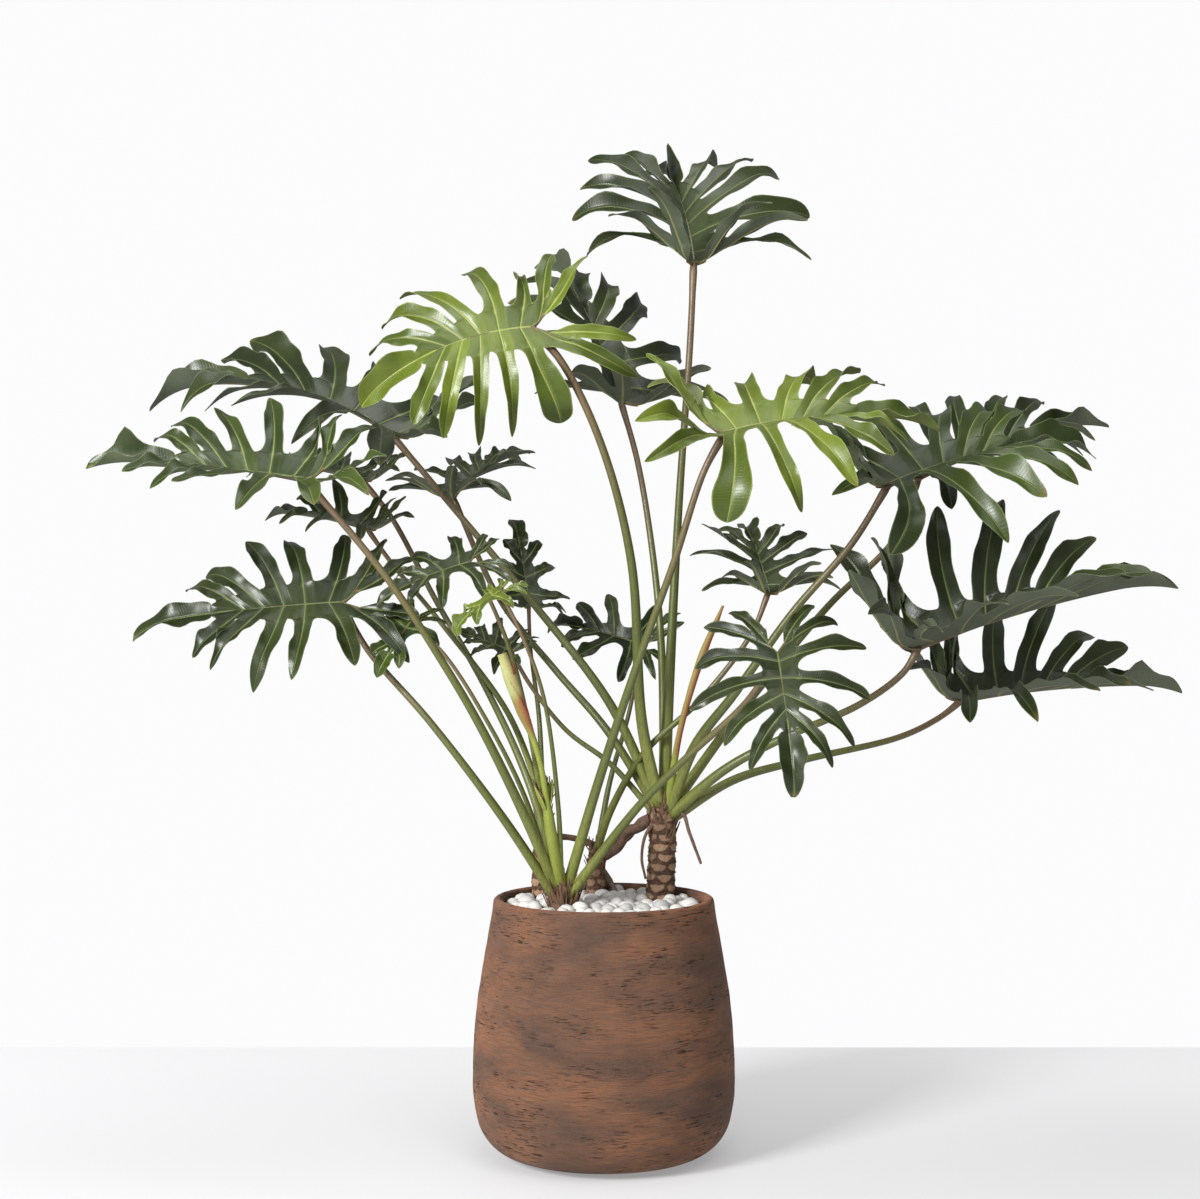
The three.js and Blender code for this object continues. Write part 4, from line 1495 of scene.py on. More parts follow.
@dataclass
class Trunk:
    """An upright stem wrapped in staggered lens-shaped leaf scars, with papery chips on it."""

    name: str
    foot: Point
    top: Point
    radius: tuple[float, float]
    scars: int = 5
    pitch: float = 0.0135
    scar_width: float = 0.49
    scar_height: float = 0.41
    scar_stray: float = 0.1
    scar_edge: tuple[float, float] = (0.76, 0.94)
    scar_shown: float = 1.0
    scar_swell: float = 0.35
    scar_tilt: float = 0.55
    ridge_inside: tuple[float, float] = (0.84, 0.98)
    ridge_outside: tuple[float, float] = (1.1, 1.4)
    ridge_height: float = 0.8
    roughness: float = 0.5
    grain_stretch: float = 40.0
    coarse_grain: float = 3.0
    fine_grain: float = 9.0
    fine_share: float = 0.6
    edge_stray: float = 0.3
    stale_scar: float = 0.45
    sunk: float = 0.2
    relief: float = 0.0020
    frayed: float = 0.0
    worn_top: float = 0.93
    worn: float = 0.5
    sides: int = 96
    steps: int = 150
    chips: int = 60
    chip_from: float = 0.6
    chip_to: float = 0.985
    chip_length: float = 0.02
    chip_width: float = 0.0022
    chip_width_stray: float = 0.0012
    chip_taper: float = 0.75
    chip_flare: float = 0.3
    chip_curl: float = 0.0011
    chip_skin: float = 0.0004
    chip_root: float = 0.001
    crisp: float = 60.0

    def scar(self, height: float, turn: float) -> tuple[float, float, float]:
        """Finds the nearest leaf scar.

        Args:
            height: Height along the stem in metres.
            turn: Turn round it in radians.

        Returns:
            The distance in scar sizes from its middle, the place up it from -1 to 1, and
            how fresh it is from 0 to 1.
        """
        row = height / self.pitch
        best = (9.0, 0.0, 1.0)
        for nearest in (math.floor(row), math.floor(row) + 1):
            shifted = turn / (2 * math.pi) * self.scars - 0.5 * (nearest % 2)
            shifted += self.scar_stray * scatter(nearest, Draw.SCAR_SHIFT)
            sideways = (shifted - round(shifted)) / self.scar_width
            upwards = (row - nearest - 0.2 * sideways ** 2) / self.scar_height
            fresh = (scatter(10 * nearest + round(shifted), Draw.SCAR_AGE) + 1.0) / 2.0
            best = min(best, (math.hypot(sideways, upwards), upwards, fresh))
        return best

    def surface(self, length: float, share: float, turn: float) -> tuple[float, Point]:
        """Gives the radius and the values that the finish reads.

        Args:
            length: The stem's length.
            share: How far up it.
            turn: Turn round it.

        Returns:
            The radius and the value "spot".
        """
        distance, upwards, fresh = self.scar(share * length, turn)
        spot = Vector((math.cos(turn), math.sin(turn), share * length * self.grain_stretch))
        rough = noise.noise(spot * self.coarse_grain)
        rough += self.fine_share * noise.noise(spot * self.fine_grain)
        scar = 1.0 - eased(*self.scar_edge, distance + self.edge_stray * rough)
        scar *= self.scar_shown
        ridge = eased(*self.ridge_inside, distance) * (1.0 - eased(*self.ridge_outside, distance))
        ridge *= 0.8 + 0.6 * rough
        relief = (self.scar_swell - self.scar_tilt * upwards) * scar + self.ridge_height * ridge
        relief += self.roughness * rough - self.sunk
        radius = lerp(*self.radius, share) + self.relief * relief
        frays = noise.noise(Vector((math.cos(turn) * 5.0, math.sin(turn) * 5.0, share * 4.0)))
        radius += self.frayed * frays * eased(0.3, 0.9, share)
        radius *= 1.0 - self.worn * eased(self.worn_top, 1.0, share)
        return radius, (max(0.0, scar) * lerp(self.stale_scar, 1.0, fresh), ridge * 0.8, 0.0)

    def add_chips(self, mesh: Mesh, route: Route) -> None:
        """Stands curled papery chips on the stem.

        Args:
            mesh: The stem's mesh.
            route: Its axis.
        """
        for index in range(self.chips):
            share = lerp(self.chip_from, self.chip_to, (scatter(index, Draw.CHIP_HEIGHT) + 1.0) / 2.0)
            turn = math.pi * scatter(index, Draw.CHIP_TURN)
            size = self.chip_length * (0.75 + 0.35 * scatter(index, Draw.CHIP_SIZE))
            width = self.chip_width + self.chip_width_stray * scatter(index, Draw.CHIP_WIDTH)
            lean = 0.25 + 0.25 * scatter(index, Draw.CHIP_LEAN)
            flaring = self.chip_flare * scatter(index, Draw.CHIP_FLARE)
            shade = 0.6 + 0.4 * scatter(index, Draw.CHIP_SHADE)
            place, ahead, outward, sideways = route.facing(share, turn)
            foot = place + outward * (self.surface(route.length, share, turn)[0] - self.chip_root)
            made = bmesh.ops.create_grid(mesh.bm, x_segments=2, y_segments=4, size=1.0)
            for vert in made["verts"]:
                along = (vert.co.y + 1.0) / 2.0
                taper = 1.0 - self.chip_taper * along ** 2
                curl = self.chip_curl * (1.0 - vert.co.x ** 2)
                flare = lean * along + flaring * along ** 2
                offset = ahead * along * size + outward * (flare * size + curl)
                vert.co = foot + offset + sideways * vert.co.x * width * taper
                mesh.mark(vert, "spot", (0.0, 0.0, shade))
        if self.chips:
            bmesh.ops.solidify(mesh.bm, geom=mesh.bm.faces[:], thickness=self.chip_skin)

    def dress(self, finish: bpy.types.Material) -> None:
        """Builds the stem and gives it its bark.

        Args:
            finish: The bark's material.
        """
        mesh = Mesh("spot")
        route = Route((self.foot, self.top))
        self.add_chips(mesh, route)
        mesh.tube(
            route,
            lambda share, turn: self.surface(route.length, share, turn)[0],
            self.sides,
            self.steps,
            lambda share, turn: self.surface(route.length, share, turn)[1],
        )
        mesh.piece(f"bark_{self.name}", "bark", (self.name,), finish, self.crisp)


@dataclass(frozen=True)
class Strand:
    """One strand of a root: the points that it passes and its radius at both ends."""

    points: tuple[Point, ...]
    first: float
    last: float


@dataclass
class Root:
    """A bare woody root or twisting stem, perhaps with strands running beside it."""

    name: str
    strands: tuple[Strand, ...]
    grey: float = 0.2
    sides: int = 16
    steps: int = 80
    knots: float = 0.16
    knot_scale: float = 1.6
    knot_stretch: float = 60.0
    strand_shift: float = 9.0

    def radius(self, number: int, length: float, share: float, turn: float) -> float:
        """Gives a strand's knotty radius.

        Args:
            number: Which strand.
            length: Its length.
            share: How far along it.
            turn: Turn round it.

        Returns:
            The radius.
        """
        strand = self.strands[number]
        along = share * length * self.knot_stretch + self.strand_shift * number
        spot = Vector((math.cos(turn), math.sin(turn), along))
        knot = noise.noise(spot * self.knot_scale)
        return lerp(strand.first, strand.last, share) * (1.0 + self.knots * knot)

    def dress(self, finish: bpy.types.Material) -> None:
        """Builds the root and gives it its finish.

        Args:
            finish: The roots' material.
        """
        mesh = Mesh("spot")
        for number, strand in enumerate(self.strands):
            route = Route(strand.points)
            mesh.tube(
                route,
                lambda share, turn: self.radius(number, route.length, share, turn),
                self.sides,
                self.steps,
                lambda share, turn: (share * route.length, 0.0, self.grey),
            )
        mesh.piece(self.name.replace("root", "aerial_root"), "roots", (self.name,), finish)


@dataclass
class Pot:
    """A thrown clay pot with a full belly and a thick round lip."""

    outside: tuple[tuple[float, float], ...] = (
        (0.098, 0.0), (0.138, 0.012), (0.158, 0.033), (0.168, 0.068), (0.1703, 0.106),
        (0.165, 0.192), (0.1554, 0.257), (0.146, 0.309), (0.1433, 0.328),
    )
    inside: tuple[tuple[float, float], ...] = (
        (0.1318, 0.328), (0.141, 0.262), (0.155, 0.13), (0.15, 0.06), (0.118, 0.018),
    )
    lip_steps: int = 10
    row: float = 0.0026
    sides: int = 224
    wobble: float = 0.0005
    even_reach: float = 0.09
    even_height: float = 0.004

    def profile(self) -> list[tuple[float, float]]:
        """Lists the outline from the middle of the foot over the lip to the inner floor.

        Returns:
            Radius and height of each point.
        """
        points = [(0.0, 0.0)]
        for index, wall in enumerate((self.outside, self.inside)):
            route = Route(tuple((radius, 0.0, height) for radius, height in wall))
            steps = math.ceil(route.length / (self.row * (1 + 2 * index)))
            places = [route.at(step / steps)[0] for step in range(steps + 1)]
            points += [(place.x, max(0.0, place.z)) for place in places]
            if index == 0:
                middle = (self.outside[-1][0] + self.inside[0][0]) / 2
                reach = (self.outside[-1][0] - self.inside[0][0]) / 2
                for step in range(1, self.lip_steps):
                    turn = math.pi * step / self.lip_steps
                    height = self.outside[-1][1] + reach * math.sin(turn)
                    points.append((middle + reach * math.cos(turn), height))
        return [*points, (0.0, self.inside[-1][1])]

    def dress(self, finish: bpy.types.Material) -> None:
        """Turns the outline and gives the pot its finish.

        Args:
            finish: The clay's material.
        """
        mesh = Mesh()
        bm = mesh.bm
        verts = [bm.verts.new((radius, 0.0, height)) for radius, height in self.profile()]
        edges = [bm.edges.new(pair) for pair in zip(verts, verts[1:])]
        bmesh.ops.spin(
            bm,
            geom=verts + edges,
            cent=(0.0, 0.0, 0.0),
            axis=(0.0, 0.0, 1.0),
            angle=2 * math.pi,
            steps=self.sides,
            use_merge=True,
        )
        bmesh.ops.remove_doubles(bm, verts=bm.verts[:], dist=1e-6)
        for vert in bm.verts:
            reach = math.hypot(vert.co.x, vert.co.y)
            if reach < self.even_reach or vert.co.z < self.even_height:
                continue
            spot = Vector((vert.co.x * 5.0, vert.co.y * 5.0, vert.co.z * 60.0))
            slow = noise.noise(vert.co * 14.0)
            shift = self.wobble * (noise.noise(spot) * 0.8 + slow)
            vert.co.x *= 1.0 + shift / reach
            vert.co.y *= 1.0 + shift / reach
        mesh.piece("clay_pot", "pot", ("pot",), finish)


@dataclass
class Pebbles:
    """Two layers of tumbled stones filling the pot's mouth round the stems."""

    reach: float = 0.1255
    count: int = 104
    layers: tuple[float, float] = (0.3115, 0.3222)
    radius: float = 0.0112
    size_stray: float = 0.22
    squash: Point = (1.0, 0.84, 0.76)
    tilt: float = 1.1
    stray: float = 0.0030
    stem_gap: float = 0.004
    layer_turn: float = 1.7
    greyness: float = 0.8
    feet: tuple[tuple[float, float, float], ...] = (
        (0.074, 0.060, 0.021), (-0.084, 0.074, 0.014), (-0.052, -0.020, 0.022), (-0.010, 0.098, 0.016),
    )

    def under_stem(self, x: float, y: float) -> bool:
        """Tells whether a stem comes up at a place.

        Args:
            x: Its place to the right.
            y: Its place to the back.

        Returns:
            Whether one does.
        """
        return any(
            math.hypot(x - right, y - back) < wide + self.stem_gap
            for right, back, wide in self.feet
        )

    def dress(self, finish: bpy.types.Material) -> None:
        """Lays the stones and gives them their finish.

        Args:
            finish: The stones' material.
        """
        mesh = Mesh("spot")
        for layer, height in enumerate(self.layers):
            for index in range(self.count):
                seed = index + 1000 * layer
                away = self.reach * math.sqrt((index + 0.5) / self.count)
                turn = GOLDEN_TURN * index + self.layer_turn * layer
                x = away * math.cos(turn) + self.stray * scatter(seed, Draw.STONE_RIGHT)
                y = away * math.sin(turn) + self.stray * scatter(seed, Draw.STONE_BACK)
                if self.under_stem(x, y):
                    continue
                size = self.radius * (1.0 + self.size_stray * scatter(seed, Draw.STONE_SIZE))
                turned = Matrix.Rotation(math.pi * scatter(seed, Draw.STONE_TURN), 4, "Z")
                tilted = Matrix.Rotation(self.tilt * scatter(seed, Draw.STONE_TILT), 4, "X")
                scaled = Matrix.Diagonal((*(size * part for part in self.squash), 1.0))
                z = height + self.stray * scatter(seed, Draw.STONE_HEIGHT)
                middle = Matrix.Translation((x, y, z))
                placed = middle @ turned @ tilted @ scaled
                made = bmesh.ops.create_icosphere(
                    mesh.bm, subdivisions=2, radius=1.0, matrix=placed,
                )
                grey = max(0.0, scatter(seed, Draw.STONE_GREY)) ** 2 * self.greyness
                for vert in made["verts"]:
                    mesh.mark(vert, "spot", (grey, 0.0, 0.0))
        mesh.piece("white_pebbles", "pebbles", ("pebbles",), finish)


@dataclass(frozen=True)
class Flap:
    """A curled flap that stands off a shoot, and how dry it is."""

    start: float
    turn: float
    length: float
    half_width: float
    red: float


@dataclass
class Shoot:
    """A leaf that is still rolled up in its sheath."""

    name: str
    piece: str
    points: tuple[Point, ...]
    radii: tuple[float, ...]
    twist: float
    groove: float
    knob_from: float
    red_from: float
    red_rise: float = 0.12
    knob_rise: float = 0.05
    knob_pallor: float = 0.6
    flaps: tuple[Flap, ...] = ()
    flap_skin: float = 0.0006
    flap_wrap: float = 1.1
    flap_lean: float = 0.35
    sides: int = 36
    steps: int = 120
    crisp: float = 60.0

    def radius(self, share: float, turn: float) -> float:
        """Gives the radius with the rolled leaf's spiral edge.

        Args:
            share: How far up the shoot.
            turn: Turn round it.

        Returns:
            The radius.
        """
        rank = min(len(self.radii) - 1.0001, share * (len(self.radii) - 1))
        low = int(rank)
        base = lerp(self.radii[low], self.radii[low + 1], eased(0.0, 1.0, rank - low))
        phase = (turn + self.twist * share) / (2 * math.pi)
        edge = phase - math.floor(phase)
        return base * (1.0 + self.groove * (edge - 0.5) * (0.3 + 0.7 * eased(0.1, 0.9, share)))

    def value(self, share: float, turn: float) -> Point:
        """Gives the values that the finish reads.

        Args:
            share: How far up the shoot.
            turn: Turn round it.

        Returns:
            The share, how red it is, and how much of the knob's pale green it has.
        """
        red = eased(self.red_from, self.red_from + self.red_rise, share)
        red *= 0.55 + 0.45 * math.sin(turn + 2.0)
        knob = eased(self.knob_from, self.knob_from + self.knob_rise, share)
        return share, red * (1.0 - self.knob_pallor * knob), knob

    def add_flap(self, mesh: Mesh, route: Route, flap: Flap) -> None:
        """Adds a flap of the sheath.

        Args:
            mesh: The shoot's mesh.
            route: Its axis.
            flap: The flap.
        """
        place, ahead, outward, sideways = route.facing(flap.start, flap.turn)
        made = bmesh.ops.create_grid(mesh.bm, x_segments=6, y_segments=12, size=1.0)
        for vert in made["verts"]:
            along = (vert.co.y + 1.0) / 2.0
            width = flap.half_width * math.sin(math.pi * (0.22 + 0.76 * along)) ** 0.7
            wrap = self.flap_wrap * vert.co.x
            away = outward * math.cos(wrap) + sideways * math.sin(wrap)
            lean = outward * (self.flap_lean * flap.length * along ** 2)
            vert.co = place + ahead * (flap.length * along) + away * width + lean
            mesh.mark(vert, "spot", (flap.start, flap.red, 0.0))

    def dress(self, finish: bpy.types.Material) -> None:
        """Builds the shoot and gives it its finish.

        Args:
            finish: The young shoots' material.
        """
        mesh = Mesh("spot")
        route = Route(self.points)
        for flap in self.flaps:
            self.add_flap(mesh, route, flap)
        if self.flaps:
            bmesh.ops.solidify(mesh.bm, geom=mesh.bm.faces[:], thickness=self.flap_skin)
        mesh.tube(route, self.radius, self.sides, self.steps, self.value)
        mesh.piece(self.piece, "young_shoot", (self.name,), finish, self.crisp)


@dataclass(frozen=True)
class Lamp:
    """A square light: where it hangs, its power in watts and its side."""

    name: str
    place: Point
    power: float
    side: float


@dataclass
class Stage:
    """The pale floor, the lights, the bright room and the camera of the photograph."""

    lamps: tuple[Lamp, ...] = (
        Lamp("key", (-2.2, -2.6, 1.85), 185.0, 1.0),
        Lamp("fill", (0.6, -2.4, 3.2), 52.0, 2.4),
        Lamp("ceiling", (0.05, -0.05, 2.7), 12.0, 1.0),
    )
    aim: Point = (0.0, 0.0, 0.7)
    sky: Colour = (0.975, 0.975, 0.985)
    room: float = 0.33

    def build(self, finish: bpy.types.Material) -> None:
        """Sets the whole stage up.

        Args:
            finish: The floor's material.
        """
        self.lay_floor(finish)
        for lamp in self.lamps:
            self.hang(lamp)
        self.light_room()
        self.set_camera()

    def lay_floor(self, finish: bpy.types.Material) -> None:
        """Lays the floor, which ends a little way behind the plant.

        Args:
            finish: The floor's material.
        """
        mesh = bmesh.new()
        bmesh.ops.create_grid(mesh, x_segments=1, y_segments=1, size=1.0)
        for vert in mesh.verts:
            back = FLOOR_BACK if vert.co.y > 0.0 else -FLOOR_REACH
            vert.co = (vert.co.x * FLOOR_REACH, back, 0.0)
        data = bpy.data.meshes.new("floor")
        mesh.to_mesh(data)
        mesh.free()
        data.materials.append(finish)
        floor = linked("floor", data)

    def hang(self, lamp: Lamp) -> None:
        """Hangs a light that faces the plant.

        Args:
            lamp: The light.
        """
        light = bpy.data.lights.new(lamp.name, "AREA")
        light.energy = lamp.power
        light.size = lamp.side
        holder = linked(lamp.name, light)
        holder.location = lamp.place
        towards = Vector(self.aim) - Vector(lamp.place)
        holder.rotation_euler = towards.to_track_quat("-Z", "Y").to_euler()

    def light_room(self) -> None:
        """Makes a room that looks nearly white to the camera and lights the plant less."""
        world = bpy.data.worlds.new("sky")
        world.use_nodes = True
        nodes = world.node_tree.nodes
        nodes["Background"].inputs["Color"].default_value = (*self.sky, 1.0)
        seen = nodes.new("ShaderNodeLightPath").outputs["Is Camera Ray"]
        strength = nodes.new("ShaderNodeMapRange")
        strength.inputs["To Min"].default_value = self.room
        world.node_tree.links.new(seen, strength.inputs["Value"])
        world.node_tree.links.new(strength.outputs["Result"], nodes["Background"].inputs["Strength"])
        bpy.context.scene.world = world
        bpy.context.scene.view_settings.view_transform = "Standard"

    def set_camera(self) -> None:
        """Sets the camera up, level and straight on."""
        lens = bpy.data.cameras.new("camera")
        lens.lens = CAMERA_LENS
        lens.sensor_width = CAMERA_SENSOR
        lens.sensor_fit = "HORIZONTAL"
        camera = linked("camera", lens)
        camera.location = CAMERA_PLACE
        camera.rotation_euler = (math.pi / 2, 0.0, 0.0)
        bpy.context.scene.camera = camera


TRUNKS = (
    Trunk("trunk_right", (0.074, 0.060, 0.3), (0.080, 0.048, 0.462), (0.019, 0.0165), chips=90),
    Trunk(
        "trunk_left", (-0.084, 0.074, 0.3), (-0.082, 0.072, 0.476), (0.0125, 0.0095),
        scars=4, pitch=0.0145,
    ),
    Trunk(
        "crown_front", (-0.052, -0.020, 0.3), (-0.053, -0.022, 0.348), (0.022, 0.014),
        scars=6, scar_shown=0.15, frayed=0.004, steps=60, chips=110, chip_from=0.35, chip_length=0.03,
    ),
    Trunk(
        "crown_back", (-0.010, 0.098, 0.3), (-0.010, 0.096, 0.388), (0.015, 0.009),
        scars=4, steps=90, chips=40, scar_shown=0.6,
    ),
)

ROOTS = (
    Root("rhizome", (
        Strand(
            ((0.072, 0.058, 0.44), (0.048, 0.08, 0.416), (0.032, 0.094, 0.408),
             (0.022, 0.104, 0.39), (0.008, 0.1, 0.378), (-0.01, 0.096, 0.372)),
            0.0075, 0.0065,
        ),
        Strand(
            ((0.072, 0.058, 0.436), (0.05, 0.076, 0.424), (0.03, 0.1, 0.398),
             (0.0, 0.112, 0.386), (-0.04, 0.104, 0.398), (-0.078, 0.08, 0.404)),
            0.0052, 0.004,
        ),
    ), grey=0.1),
    Root("root_right", (
        Strand(
            ((0.08, 0.048, 0.448), (0.104, 0.036, 0.438), (0.112, 0.034, 0.415), (0.128, 0.036, 0.372)),
            0.003, 0.0018,
        ),
    )),
    Root("root_left", (
        Strand(
            ((0.078, 0.05, 0.432), (0.056, 0.036, 0.412), (0.05, 0.034, 0.38), (0.055, 0.036, 0.352)),
            0.0026, 0.0016,
        ),
    )),
    Root("root_splay_left", (
        Strand(((-0.012, 0.098, 0.366), (-0.026, 0.103, 0.34), (-0.038, 0.102, 0.306)), 0.0065, 0.004),
    ), grey=0.8),
    Root("root_splay_right", (
        Strand(((-0.008, 0.098, 0.362), (0.008, 0.105, 0.338), (0.022, 0.104, 0.306)), 0.0065, 0.004),
    ), grey=0.8),
)

LEAF_FINISHES = {
    Tone.DARK: LeafFinish(
        deep=(0.0105, 0.0168, 0.0032), fresh=(0.034, 0.048, 0.0080), vein=(0.19, 0.235, 0.08),
        margin=(0.17, 0.21, 0.08), under=(0.080, 0.096, 0.056),
    ),
    Tone.MID: LeafFinish(
        deep=(0.0170, 0.0290, 0.0040), fresh=(0.048, 0.074, 0.0080), vein=(0.25, 0.31, 0.09),
        margin=(0.22, 0.28, 0.10), under=(0.105, 0.130, 0.060),
    ),
    Tone.LIME: LeafFinish(
        deep=(0.046, 0.069, 0.005), fresh=(0.142, 0.187, 0.011), vein=(0.34, 0.38, 0.10),
        margin=(0.30, 0.35, 0.11), under=(0.16, 0.19, 0.055),
    ),
}

SHOOTS = (
    Shoot(
        "bud", "new_leaf_bud",
        ((-0.054, -0.024, 0.338), (-0.068, -0.062, 0.43), (-0.082, -0.084, 0.52),
         (-0.106, -0.09, 0.59), (-0.128, -0.088, 0.652)),
        (0.0085, 0.0090, 0.0078, 0.0068, 0.0040, 0.0036, 0.0040, 0.0078, 0.0086, 0.0060),
        twist=9.0, groove=0.22, knob_from=0.80, red_from=0.62,
        flaps=(
            Flap(start=0.40, turn=0.4, length=0.030, half_width=0.0085, red=0.12),
            Flap(start=0.38, turn=3.4, length=0.034, half_width=0.0085, red=0.05),
            Flap(start=0.90, turn=0.2, length=0.020, half_width=0.0085, red=0.9),
        ),
    ),
    Shoot(
        "spear", "rolled_spear",
        ((0.084, 0.04, 0.446), (0.1, 0.01, 0.55), (0.125, 0.0, 0.64), (0.155, 0.0, 0.712)),
        (0.0060, 0.0052, 0.0044, 0.0040, 0.0042, 0.0047, 0.0050, 0.0040, 0.0020),
        twist=7.0, groove=0.2, knob_from=1.2, red_from=0.2,
    ),
)

